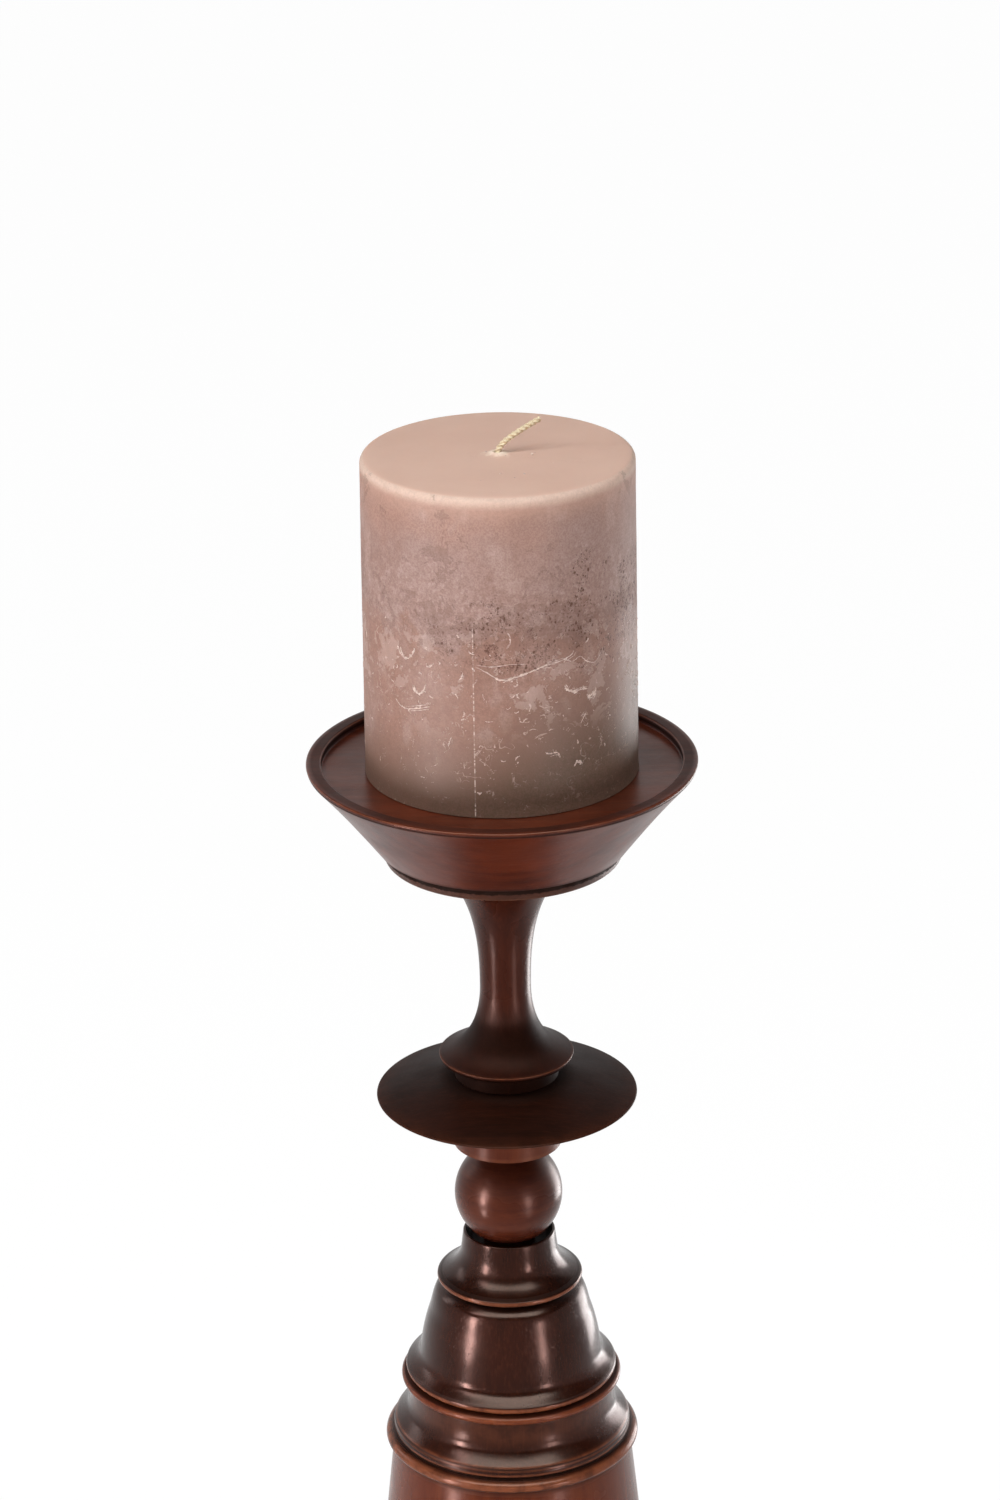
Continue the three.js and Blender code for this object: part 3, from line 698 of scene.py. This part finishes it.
make_plinth()
turned(
    "turned_foot_moulding",
    Outline(FOOT_R - FOOT_EDGE_ROUND, 0)
    .curve(FOOT_R, FOOT_EDGE_H, 45, 125)
    .curve(FOOT_HOLLOW_R, FOOT_HOLLOW_H, 160, 98)
    .curve(FOOT_TOP_R, FOOT_H, 98, 140),
    FOOT_Z, FACETS_WIDE, spindle_dark, FOOT_SPIGOT, COLUMN_SPIGOT,
    # painted shade in the seams at its foot and top
    rubbed=[(1.5, 5.4, 0.8, 0.85)], dirty=[(-1, 0.5, 0.4, 0.8), (27, 29, 0.8, 0.7)])
foot_bead_side = FOOT_BEAD_R - FOOT_BEAD_BULGE
turned(
    "turned_foot_bead",
    Outline(foot_bead_side, 0)
    .curve(FOOT_BEAD_R, FOOT_BEAD_H / 2, 0, 90)
    .curve(foot_bead_side, FOOT_BEAD_H, 90, 180),
    FOOT_BEAD_Z, FACETS_WIDE, spindle_warm, None, None, COLUMN_SPIGOT[0] + SLIP,
    # painted shade in the seams below and above
    rubbed=[(2.5, 8.5, 1.5, 0.7)], dirty=[(-1, 0.6, 0.5, 0.8), (10.4, 12, 0.5, 0.8)])
turned(
    "turned_column",
    Outline(COLUMN_FOOT_R, 0).curve(COLUMN_TOP_R, COLUMN_H, 96.1, 96.1),
    COLUMN_Z, FACETS_MIDDLE, spindle_warm, through(COLUMN_SPIGOT, FOOT_BEAD_H), SHOULDER_SPIGOT,
    # painted shade in the seam at the foot and under the shoulder ring's bead
    dirty=[(-1, 0.8, 0.8, 0.7), (COLUMN_H - 1.6, COLUMN_H + 2, 1.2, 0.75)])
turned(
    "turned_shoulder_ring",
    Outline(SHOULDER_BEAD_R - SHOULDER_BEAD_ROUND, 0)
    .curve(SHOULDER_BEAD_R, SHOULDER_BEAD_MIDDLE, 10, 90)
    .curve(SHOULDER_GROOVE_R, SHOULDER_BEAD_H, 90, 170)
    .line(SHOULDER_BAND_R, SHOULDER_BAND_H)
    .curve(SHOULDER_EDGE_R, SHOULDER_EDGE_H, 90, 130)
    .curve(SHOULDER_HOLLOW_R, SHOULDER_HOLLOW_H, SHOULDER_EDGE_SLOPE, 129)
    .curve(SHOULDER_TOP_R, SHOULDER_H, 122, 92, 0.3),
    SHOULDER_Z, FACETS_MIDDLE, spindle_dark, SHOULDER_SPIGOT, BELL_SPIGOT,
    # the wide band from 17 to 27 is a painted lit band; the others are worn edges
    rubbed=[(1.0, 4.3, 0.4, 0.85), (6.0, 6.7, 0.2, 0.7), (7.9, 8.4, 0.2, 0.45), (9.3, 9.9, 0.2, 0.7),
            (17, 27, 3, 0.2)],
    # painted shade in the seam, the grooves and under the bead ring
    dirty=[(-1, 0.6, 0.3, 0.9), (4.8, 5.4, 0.12, 0.9), (7.1, 7.5, 0.2, 0.5), (8.7, 9.1, 0.15, 0.8),
           (24.9, 27, 0.4, 0.8)])
bead_ring_side = BEAD_RING_R - BEAD_RING_BULGE
turned(
    "turned_bead_ring",
    Outline(bead_ring_side, 0)
    .curve(BEAD_RING_R, BEAD_RING_MIDDLE, 10, 90)
    .curve(bead_ring_side, BEAD_RING_H, 90, 165),
    BEAD_RING_Z, FACETS_MIDDLE, spindle_warm, None, None, BELL_SPIGOT[0] + SLIP,
    # painted shade in the seams below and above
    rubbed=[(0.8, 2.9, 0.3, 0.25)], dirty=[(-1, 0.3, 0.3, 0.9), (3.1, 5, 0.15, 0.9)])
turned(
    "turned_large_bell",
    Outline(BELL_FOOT_R, 0)
    .curve(BELL_EDGE_R, BELL_EDGE_MIDDLE, 30, 90)
    .curve(BELL_EDGE_R - BELL_EDGE_ROUND, BELL_EDGE_H, 90, 138)
    .curve(BELL_HOLLOW_R, BELL_HOLLOW_H, 141, 99.5)
    .curve(BELL_SHOULDER_R, BELL_SHOULDER_H, 99.5, 108.5)
    .curve(BELL_BROW_R, BELL_H - BELL_BROW_DROP, 107, 119)
    .curve(BELL_TOP_R, BELL_H, 132, 152),
    BELL_Z, FACETS_MIDDLE, spindle_dark, through(BELL_SPIGOT, BEAD_RING_H), CUP_SPIGOT,
    rubbed=[(0.4, 2.7, 0.4, 0.95)],
    # painted shade in the seam, above the edge roll and under the cup's edge
    dirty=[(-1, 0.1, 0.2, 0.9), (3.2, 3.7, 0.2, 0.6), (37.4, 41, 0.6, 0.9)])
turned(
    "turned_cup_bell",
    Outline(CUP_FOOT_R, 0)
    .curve(CUP_EDGE_R, CUP_EDGE_MIDDLE, 40, 90)
    .curve(CUP_EDGE_R - CUP_EDGE_ROUND, CUP_EDGE_H, 90, 152)
    .curve(CUP_WAIST_R, CUP_WAIST_H, 156, 99)
    .line(CUP_LIP_R, CUP_H - CUP_LIP_ROUND)
    .line(CUP_LIP_R - CUP_LIP_ROUND, CUP_H)
    .line(CUP_LIP_R - CUP_LIP_WIDTH, CUP_H)
    .curve(CUP_SEAT_R, CUP_H - CUP_RECESS, 240, 185),
    CUP_Z, FACETS_SLIM, spindle_dark, CUP_SPIGOT, BALL_SPIGOT,
    rubbed=[(0.5, 2.1, 0.3, 0.95)],
    # painted shade in the seam, above the edge roll and in the dish round the ball
    dirty=[(-1, 0.1, 0.2, 0.9), (2.5, 3.1, 0.2, 0.6),
           (CUP_H - 6, CUP_H + 1, 0.2, 1, CUP_LIP_R - CUP_LIP_WIDTH + 0.1)])

BALL_STEPS = 60  # along the ball's outline


def ball_outline():
    outline = Outline(BALL_STUB_R, 0)
    reach = math.acos(BALL_STUB_R / BALL_R)
    for i in range(BALL_STEPS + 1):
        a = -reach + 2 * reach * i / BALL_STEPS
        outline.line(BALL_R * math.cos(a), BALL_MIDDLE_H + BALL_R * math.sin(a))
    return outline.line(BALL_STUB_R, BALL_H)


turned(
    "turned_ball", ball_outline(), BALL_Z, FACETS_SLIM, ball_wood, BALL_SPIGOT, COLLAR_SPIGOT,
    # painted shade where the ball sits in the cup and under the collar, fading down its top half
    dirty=[(-1, 4.5, 1.5, 0.8), (BALL_H - 4, BALL_H + 6, 6, 0.9), (BALL_H - 12, BALL_H + 12, 12, 0.45)])
turned(
    "turned_disc_collar",
    Outline(COLLAR_FOOT_R, 0).curve(COLLAR_TOP_R, COLLAR_H, 88, 90),
    COLLAR_Z, FACETS_SLIM, spindle_warm, COLLAR_SPIGOT, DISC_SPIGOT,
    # painted shade under the drip disc; the whole collar is also a little darker
    rubbed=[(0, 1.2, 0.5, 0.35)], dirty=[(11.6, 13, 0.5, 0.8), (-2, 14, 1, 0.2)])
turned(
    "turned_drip_disc",
    Outline(DISC_HUB_R, 0)
    .curve(DISC_R - ARRIS, DISC_EDGE_H, 20, 12)
    .line(DISC_R, DISC_EDGE_H + DISC_EDGE / 2)
    .line(DISC_R - ARRIS, DISC_EDGE_H + DISC_EDGE)
    .line(DISC_HUB_R, DISC_H),
    DISC_Z, FACETS_WIDE, disc_wood, DISC_SPIGOT, NECK_SPIGOT,
    rubbed=[(6.5, 9.2, 1.2, 0.16)],
    # painted shade round the neck's foot and in the seam below
    dirty=[(14.6, 16, 0.8, 0.8), (-1, 0.8, 0.6, 0.7)])
turned(
    "turned_neck_spindle",
    Outline(NECK_FOOT_R, 0)
    .line(NECK_FOOT_R, NECK_FOOT_H)
    .line(FLANGE_R - FLANGE_UNDERCUT, NECK_FOOT_H)
    .curve(FLANGE_R, NECK_FOOT_H + FLANGE_EDGE, 45, 95)
    .curve(NECK_WAIST_R, NECK_WAIST_H, 165, 90)
    .curve(NECK_TOP_R, NECK_H, 90, 47),
    NECK_Z, FACETS_SLIM, neck_wood, NECK_SPIGOT, TRAY_SPIGOT,
    rubbed=[(8.75, 9.15, 0.15, 0.8), (88.6, 90, 0.3, 0.6)],
    # painted shade on the foot under the flange and over the flange's hollow and lower neck
    dirty=[(-1, 8.2, 0.3, 1), (9.3, 28, 8, 0.95)])


PLATE_EDGE = 2  # how far in the chips reach


def plate_shape(r, h, a):
    """Small chips along the plate's edge."""
    if r < PLATE_FOOT_R - PLATE_EDGE:
        return r, h
    p = Vector((math.cos(a) * 9, math.sin(a) * 9, h * 0.3))
    chip = smoothstep(0.1, 0.55, noise.noise(p)) * 0.6 + 0.15 * noise.noise(p * 4)
    return r - max(0, chip) * smoothstep(0, PLATE_H, h), h


turned(
    "turned_tray_plate",
    Outline(PLATE_FOOT_R - ARRIS, 0).line(PLATE_FOOT_R, ARRIS).line(PLATE_TOP_R, PLATE_H),
    PLATE_Z, FACETS_WIDEST, plate_wood, None, None, TRAY_SPIGOT[0] + SLIP,
    rubbed=[(-0.2, 0.6, 0.4, 0.25)], dirty=[(2.6, 5, 1.2, 0.9)], shape=plate_shape)


TRAY_FLOOR_DUST_AND_SHEEN_R, TRAY_RIM_SHADE_R = 66.5, 71.75  # how far out the floor's faint lighter mark, partly dust and partly painted sheen, and the rim top's painted shade reach


def make_tray():
    """The tray has no bore: its spigot is a blind one, with a pocket for the insert of the tie rod."""
    spigot = through(TRAY_SPIGOT, PLATE_H)
    pocket_r = INSERT_R + SLIP
    pocket_top = -spigot[1] + INSERT_H + INSERT_LEDGE
    rim_inner = TRAY_R - TRAY_RIM_WIDTH
    outline = (
        Outline(0, pocket_top)
        .line(pocket_r, pocket_top)
        .line(pocket_r, -spigot[1])
        .line(spigot[0], -spigot[1])
        .line(spigot[0], 0)
        .line(TRAY_FOOT_R, 0)
        .curve(TRAY_R - TRAY_RIM_FLARE, TRAY_H - TRAY_RIM_EDGE, 53, 48)
        .line(TRAY_R, TRAY_H - TRAY_RIM_ROUND)
        .curve(TRAY_R - TRAY_RIM_ROUND, TRAY_H, 92, 175)
        .line(rim_inner + ARRIS, TRAY_H)
        .line(rim_inner, TRAY_H - ARRIS)
        .line(rim_inner, TRAY_H - TRAY_RECESS)
        .line(0, TRAY_H - TRAY_RECESS))
    piece = lathe(
        "turned_candle_tray", outline.points, [], TRAY_Z, FACETS_WIDEST,
        # the rim's outer corner is wear with a painted highlight line; the recess floor a faint lighter mark,
        # partly dust and partly painted sheen
        rubbed=[(TRAY_H - 0.45, TRAY_H - 0.15, 0.1, 0.35),
                (TRAY_H - 3.4, TRAY_H - 3.1, 0.2, 0.08, TRAY_FLOOR_DUST_AND_SHEEN_R)],
        # painted shade in the seam below, a painted shadow line under the rim's edge and painted shade on the
        # rim's top
        dirty=[(-1, 0.8, 0.8, 0.8), (TRAY_H - 2.0, TRAY_H - 0.8, 0.15, 0.9),
               (TRAY_H - 0.1, TRAY_H + 1, 0.1, 0.6, TRAY_RIM_SHADE_R)])
    dress(piece, tray_wood, "candle_tray")


make_tray()


# Candle


WAX_MOUND_R, WAX_MOUND_H = 4.5, 0.9  # wax drawn up round the wick
WAX_INSET = 0.12  # keeps the waves inside the CAD candle
WAX_FOOT_H = 0.5  # the foot stays round


def wax_shape(r, h, a):
    """Slow waves in the side of a hand-poured candle."""
    if r < CANDLE_R - CANDLE_ROUND or h < WAX_FOOT_H:
        return r, h
    p = Vector((math.cos(a) * 1.6, math.sin(a) * 1.6, h * 0.03))
    fine = Vector((math.cos(a) * 16, math.sin(a) * 16, h * 0.3))
    return r - WAX_INSET + 0.1 * noise.noise(p) + 0.05 * noise.noise(fine), h


def make_wax():
    bore = WICK_R + SLIP
    outline = (
        Outline(CANDLE_R + CANDLE_TAPER, 0)
        .line(CANDLE_R, CANDLE_H - CANDLE_ROUND)
        .curve(CANDLE_R - CANDLE_ROUND, CANDLE_H, 90, 180)
        .line(WAX_MOUND_R, CANDLE_H)
        .curve(bore + 0.6, CANDLE_H + WAX_MOUND_H, 178, 150))
    inner = [(bore, CANDLE_H + WAX_MOUND_H * 0.8), (bore, 0)]
    piece = lathe("rustic_candle_wax", outline.points, inner, CANDLE_Z, FACETS_WIDEST, shape=wax_shape)
    dress(piece, wax_material(), "candle_wax", "candle")


make_wax()

# Curls and ridges of wax on the side: half width in mm, then azimuth in degrees and mm below the top
CURLS = [
    (0.55, [(-45.5, 60.6), (-44.5, 62.8), (-42, 64.2), (-39.5, 62.7), (-37.5, 59.6)]),
    (0.45, [(-38.5, 73.8), (-37.5, 75.6), (-36, 76.6), (-33.5, 75), (-32.5, 72.2)]),
    (0.3, [(-32, 64.2), (-31, 65.4), (-29, 64.5)]),
    (0.32, [(-10.5, 63.3), (-5.5, 65.4), (0.5, 68.4), (6.5, 67.2), (14, 65.2), (19, 63.8), (23.5, 63.8)]),
    (0.12, [(-9.5, 62.6), (-3.5, 63.2), (4, 62.4), (10.5, 62.6)]),
    (0.2, [(3, 50.4), (4, 52.3), (4, 54.6), (2.5, 56.5)]),
    (0.55, [(27, 72.8), (28.5, 74.8), (32, 75.8), (35.5, 75.6), (38.5, 76)]),
    (0.7, [(38, 79.2), (40.5, 79.9), (42, 78.4), (43, 76.7)]),
    (0.22, [(19, 63), (23.5, 63.3), (27.5, 62.6), (30.5, 61.4), (31.5, 60)]),
    (0.25, [(-49, 81.3), (-46, 83.2), (-42, 83.6), (-36.5, 82.3), (-30.5, 80.7)]),
    (0.25, [(37.5, 85.1), (36, 86.7), (34.5, 88.7)]),
    (0.6, [(31, 104.6), (33, 102.9), (34.5, 104.6)]),
    (0.35, [(11.5, 77.6), (12, 79.2), (11.5, 80.8)]),
    (0.2, [(26.5, 62.6), (31, 64.1), (34.5, 62.9), (38, 65.5), (42, 66.8), (45, 64.9), (47, 62.7)]),
    (0.25, [(18, 97.1), (20, 98), (23, 97.8), (24.5, 99.2)])]
CURL_COUNT = 260  # small ones, strewn all round
CURL_STEPS = 8  # between two points of a curl's route
BROKEN_SEED, STREWN_SEED = 4, 11
# A curl's section: half widths across, and mm out from the wax
CURL_PROFILE = ((-1, -0.25), (-0.7, 0.08), (0.2, 0.2), (0.8, 0.06), (1, -0.25))

# Crumbs on the candle's top: x, y and radius in mm
CRUMBS = [
    (9.5, -23.5, 0.45), (6, -27.5, 0.3), (1, -23, 0.4), (12.5, -1.5, 0.5), (13.6, -0.2, 0.3),
    (-6, -30, 0.25), (-4, 2, 0.35), (3, -3, 0.3), (20, -12, 0.25)]


def broken_curls():
    """Each curl in full, with two thinner, shorter ones beside it."""
    rng = random.Random(BROKEN_SEED)
    for wide, route in CURLS:
        yield wide, route
        for _ in range(2):
            start = rng.randrange(len(route) - 1)
            aside, along = rng.uniform(-1.2, 1.2), rng.uniform(-1, 1)
            piece = route[start:start + rng.randint(2, 3)]
            yield wide * rng.uniform(0.3, 0.6), [(a + aside, d + along) for a, d in piece]


def strewn_curls():
    """Short, thin curls all round, most of them three quarters of the way down."""
    rng = random.Random(STREWN_SEED)
    for _ in range(CURL_COUNT):
        azimuth, down = rng.uniform(0, 360), rng.triangular(50, 116, 76)
        heading, bend = rng.uniform(0, 2 * math.pi), rng.uniform(-1.1, 1.1)
        step = rng.uniform(0.25, 0.9) * (1.5 if rng.random() < 0.12 else 1)
        route = []
        for _ in range(4):
            route.append((azimuth, down))
            azimuth += math.degrees(step * math.cos(heading) / CANDLE_R)
            down += step * math.sin(heading)
            heading += bend
        yield rng.uniform(0.1, 0.3), route


def smooth_route(route):
    """A Catmull-Rom curve through the points of a route."""
    out = []
    for i in range(len(route) - 1):
        p = [route[max(0, min(len(route) - 1, i + k))] for k in (-1, 0, 1, 2)]
        for j in range(CURL_STEPS):
            t = j / CURL_STEPS
            w = (-t + 2 * t * t - t ** 3, 2 - 5 * t * t + 3 * t ** 3, t + 4 * t * t - 3 * t ** 3, t ** 3 - t * t)
            out.append(tuple(sum(a * q[c] for a, q in zip(w, p)) / 2 for c in (0, 1)))
    return out + [route[-1]]


def on_side(azimuth, down, out):
    """A point on the candle's side, out from the wax. Azimuth 0 is the side that faces the camera."""
    r = CANDLE_R + CANDLE_TAPER * down / CANDLE_H - WAX_INSET + out
    a = math.radians(azimuth)
    return Vector((r * math.sin(a), -r * math.cos(a), CANDLE_Z + CANDLE_H - down)) * MM


def make_curls():
    """Each curl is a low ridge with tapered ends, half sunk in the wax."""
    bm = bmesh.new()
    for wide, route in list(broken_curls()) + list(strewn_curls()):
        route = smooth_route(route)
        rings = []
        for i, (azimuth, down) in enumerate(route):
            before, after = route[max(0, i - 1)], route[min(len(route) - 1, i + 1)]
            run = Vector((math.radians(after[0] - before[0]) * CANDLE_R, after[1] - before[1])).normalized()
            half = wide * (0.15 + 0.85 * math.sin(math.pi * i / (len(route) - 1)) ** 0.6)
            ring = []
            for side, out in CURL_PROFILE:
                torn = Vector((azimuth * 0.9, down, 3.1 if side < 0 else 9.4)) * 2.2
                across = side * half * max(0.1, 1 + 2.2 * noise.noise(torn))
                turn = math.degrees(-run.y * across / CANDLE_R)
                ring.append(bm.verts.new(on_side(azimuth + turn, down + run.x * across, out * min(1, half * 3))))
            rings.append(ring)
        skin(bm, rings)
    for x, y, radius in CRUMBS:
        made = bmesh.ops.create_icosphere(bm, subdivisions=2, radius=radius * MM)
        for v in made["verts"]:
            v.co *= 1 + 0.35 * noise.noise(v.co * 3000 + Vector((x, y, 0)))
            v.co.z *= 0.7
            v.co += Vector((x, y, CANDLE_Z + CANDLE_H + radius * 0.2)) * MM
    bmesh.ops.recalc_face_normals(bm, faces=bm.faces)
    dress(finish_mesh("wax_curls", bm), curl_material(), None, "candle")


def curl_material():
    t = Tree("scraped_wax")
    place = t.place()
    t.shade("Base Color", t.mix(t.ramp(t.noise(place, 700, 3), 0.35, 0.65), color("bfa095"), color("dcc3b7")))
    t.shade("Roughness", t.ramp(t.noise(place, 900, 2), 0.3, 0.7, 0.45, 0.6))
    t.shade("Specular IOR Level", 0.3)
    t.shade("Subsurface Weight", 0.2)
    t.shade("Subsurface Radius", WAX_SCATTER)
    t.shade("Subsurface Scale", 0.002)
    t.shade("Normal", t.bump(t.noise(place, 1600, 2), 0.3, 0.0002))
    return t.material


make_curls()


WICK_STRAIGHT_STEPS, WICK_BENT_STEPS, WICK_SIDES = 120, 70, 36
WICK_TWIST = 1.15  # radians for each millimetre along the wick


def wick_route(t):
    """Where the bent end of the wick runs, t from 0 at the candle's top to 1 at its tip."""
    points = [
        Vector((0, 0, CANDLE_H)),
        Vector((0, 0, CANDLE_H + WICK_RISE * 0.3)),
        Vector((WICK_LEAN * 0.45, WICK_DRIFT * 0.45, CANDLE_H + WICK_RISE * 0.62)),
        Vector((WICK_LEAN, WICK_DRIFT, CANDLE_H + WICK_RISE))]
    u = 1 - t
    weights = (u ** 3, 3 * u * u * t, 3 * u * t * t, t ** 3)
    return sum((w * p for w, p in zip(weights, points)), Vector())


def make_wick():
    """Three twisted strands in one closed skin."""
    centres = [Vector((0, 0, WICK_START + (CANDLE_H - WICK_START) * i / WICK_STRAIGHT_STEPS))
               for i in range(WICK_STRAIGHT_STEPS)]
    centres += [wick_route(i / WICK_BENT_STEPS) for i in range(WICK_BENT_STEPS + 1)]
    bm = bmesh.new()
    rings, run = [], 0.0
    frame_x = Vector((1, 0, 0))
    for i, c in enumerate(centres):
        ahead = centres[min(i + 1, len(centres) - 1)] - centres[max(i - 1, 0)]
        along = ahead.normalized()
        frame_x = (frame_x - along * frame_x.dot(along)).normalized()
        frame_y = along.cross(frame_x)
        if i:
            run += (c - centres[i - 1]).length
        ring = []
        for j in range(WICK_SIDES):
            a = 2 * math.pi * j / WICK_SIDES
            lobe = 0.82 + 0.18 * math.cos(3 * (a - run * WICK_TWIST))
            loose = 1 + 0.05 * noise.noise(Vector((math.cos(a), math.sin(a), run * 0.8)) * 2)
            p = c + (frame_x * math.cos(a) + frame_y * math.sin(a)) * WICK_R * 0.97 * lobe * loose
            ring.append(bm.verts.new((p.x * MM, p.y * MM, (p.z + CANDLE_Z) * MM)))
        rings.append(ring)
    skin(bm, rings)
    bmesh.ops.recalc_face_normals(bm, faces=bm.faces)
    dress(finish_mesh("twisted_wick", bm), cotton_material(), "candle_wick", "candle")


make_wick()

# Felt pads
felt = felt_material()
pad_outline = Outline(0, 0).line(PAD_R, 0).line(PAD_R, PAD_H).line(0, PAD_H)
for i in range(PAD_COUNT):
    a = 2 * math.pi * (i + 0.5) / PAD_COUNT
    pad = lathe(f"felt_disc_{i + 1}", pad_outline.points, [], 0, FACETS_PAD)
    pad.data.transform(Matrix.Translation((PAD_CIRCLE_R * math.cos(a) * MM, PAD_CIRCLE_R * math.sin(a) * MM, 0)))
    dress(pad, felt, f"felt_pad_{i + 1}")

# The fixing keeps its CAD shapes
zinc = zinc_material()
for name in ("tie_rod", "rod_insert", "rod_washer", "rod_nut"):
    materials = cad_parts[name].data.materials
    materials.clear()
    materials.append(zinc)


# Floor, lamps and world


# Radius and height of the floor and wall, in metres as all of the studio is
FLOOR_PROFILE = [
    (0, 0), (2.5, 0), (5, 0), (6, 0.12), (6.6, 0.45), (7, 1.0), (7.15, 1.8), (7.2, 2.9), (7.2, 4.4)]
FLOOR_SIDES = 96
FLOOR_COLOR = (0.8, 0.8, 0.8, 1)
FLOOR_GLOW = 1.03  # of the white that the camera and the gloss see
FLOOR_GLOW_SHARE = 0.95  # the rest is the plain floor with its shadow
WORLD_COLOR = (0.1, 0.1, 0.1, 1)
LAMPS_MIDDLE = Vector((0, 0, 0.36))
CARD_GAP = 0.01


def make_floor():
    """A pale floor that rises into a wall all round."""
    bm = bmesh.new()
    rings = []
    for r, z in FLOOR_PROFILE:
        angles = [2 * math.pi * j / FLOOR_SIDES for j in range(FLOOR_SIDES if r else 1)]
        rings.append([bm.verts.new((r * math.cos(a), r * math.sin(a), z)) for a in angles])
    for low, high in zip(rings, rings[1:]):
        for j in range(FLOOR_SIDES):
            k = (j + 1) % FLOOR_SIDES
            if len(low) == 1:
                bm.faces.new((low[0], high[j], high[k]))
            else:
                bm.faces.new((low[j], high[j], high[k], low[k]))
    floor = finish_mesh("studio_floor", bm, 60)
    t = Tree("studio_paper")
    t.nodes.remove(t.shader)
    path = t.node("ShaderNodeLightPath").outputs
    seen = t.math("MAXIMUM", t.math("MAXIMUM", path["Is Camera Ray"], path["Is Glossy Ray"]),
                  path["Is Transmission Ray"])
    plain = t.node("ShaderNodeBsdfDiffuse")
    plain.inputs["Color"].default_value = FLOOR_COLOR
    glow = t.node("ShaderNodeEmission")
    glow.inputs["Strength"].default_value = FLOOR_GLOW
    blend = t.node("ShaderNodeMixShader")
    t.put(blend.inputs[0], t.math("MULTIPLY", seen, FLOOR_GLOW_SHARE))
    t.links.new(plain.outputs[0], blend.inputs[1])
    t.links.new(glow.outputs[0], blend.inputs[2])
    t.links.new(blend.outputs[0], t.nodes["Material Output"].inputs["Surface"])
    floor.data.materials.append(t.material)


make_floor()


def lamp(name, azimuth, low, high, width, distance, radiance, glint=1.0, tint=(1, 1, 1)):
    """A softbox that stands between two elevations, seen from the middle of the object. Azimuth 0 is the camera's.

    glint is how much brighter it is in the gloss than on the matt surfaces, and 0 for a fill that isn't in the
    gloss. What goes beyond 1 is a second, tinted light just in front of it that only the gloss sees.
    """
    a, e = math.radians(azimuth), math.radians((low + high) / 2)
    away = Vector((math.sin(a) * math.cos(e), -math.cos(a) * math.cos(e), math.sin(e)))
    for part, share in (("", 1.0), ("_card", glint - 1)):
        if share <= 0:
            continue
        data = bpy.data.lights.new(name + part, "AREA")
        data.shape = "RECTANGLE"
        data.size = 2 * distance * math.tan(math.radians(width) / 2)
        data.size_y = 2 * distance * math.tan(math.radians(high - low) / 2)
        data.energy = radiance * share * math.pi * data.size * data.size_y
        light = bpy.data.objects.new(name + part, data)
        light.location = LAMPS_MIDDLE + away * (distance - (CARD_GAP if part else 0))
        light.rotation_mode = "QUATERNION"
        light.rotation_quaternion = away.to_track_quat("Z", "Y")
        light.visible_camera = False
        light.visible_diffuse = not part
        light.visible_glossy = glint > 0
        data.color = tint if part else (1, 1, 1)
        bpy.context.scene.collection.objects.link(light)


# Placed by the highlights in the photograph. Angles in degrees, distances in metres.
lamp("softbox_left", -54, low=-16, high=9, width=7, distance=0.6, radiance=27, glint=2.5)
lamp("softbox_left_low", -54, low=-38, high=-26, width=7, distance=0.6, radiance=24, glint=1.2)
lamp("softbox_left_high", -64, low=38, high=54, width=12, distance=1.2, radiance=9, glint=1.5)
lamp("softbox_right", 41, low=-16, high=3, width=7, distance=0.7, radiance=19, glint=1.5)
lamp("softbox_right_low", 41, low=-36, high=-26, width=7, distance=0.7, radiance=17, glint=1.6)
lamp("softbox_back_right", 130, low=-29, high=3, width=24, distance=0.6, radiance=3.8, glint=2.3)
lamp("softbox_back_left", -117, low=8, high=34, width=12, distance=1.6, radiance=3.0)
lamp("softbox_over", 0, low=54, high=78, width=66, distance=1.2, radiance=4.2, glint=2.6,
     tint=(0.8, 1.25, 1.2))
lamp("softbox_fill", -18, low=8, high=40, width=44, distance=2.0, radiance=1.1, glint=0)

world = bpy.data.worlds.new("studio")
bpy.context.scene.world = world
world.use_nodes = True
world.node_tree.nodes["Background"].inputs["Color"].default_value = WORLD_COLOR
bpy.context.scene.view_settings.view_transform = "Standard"
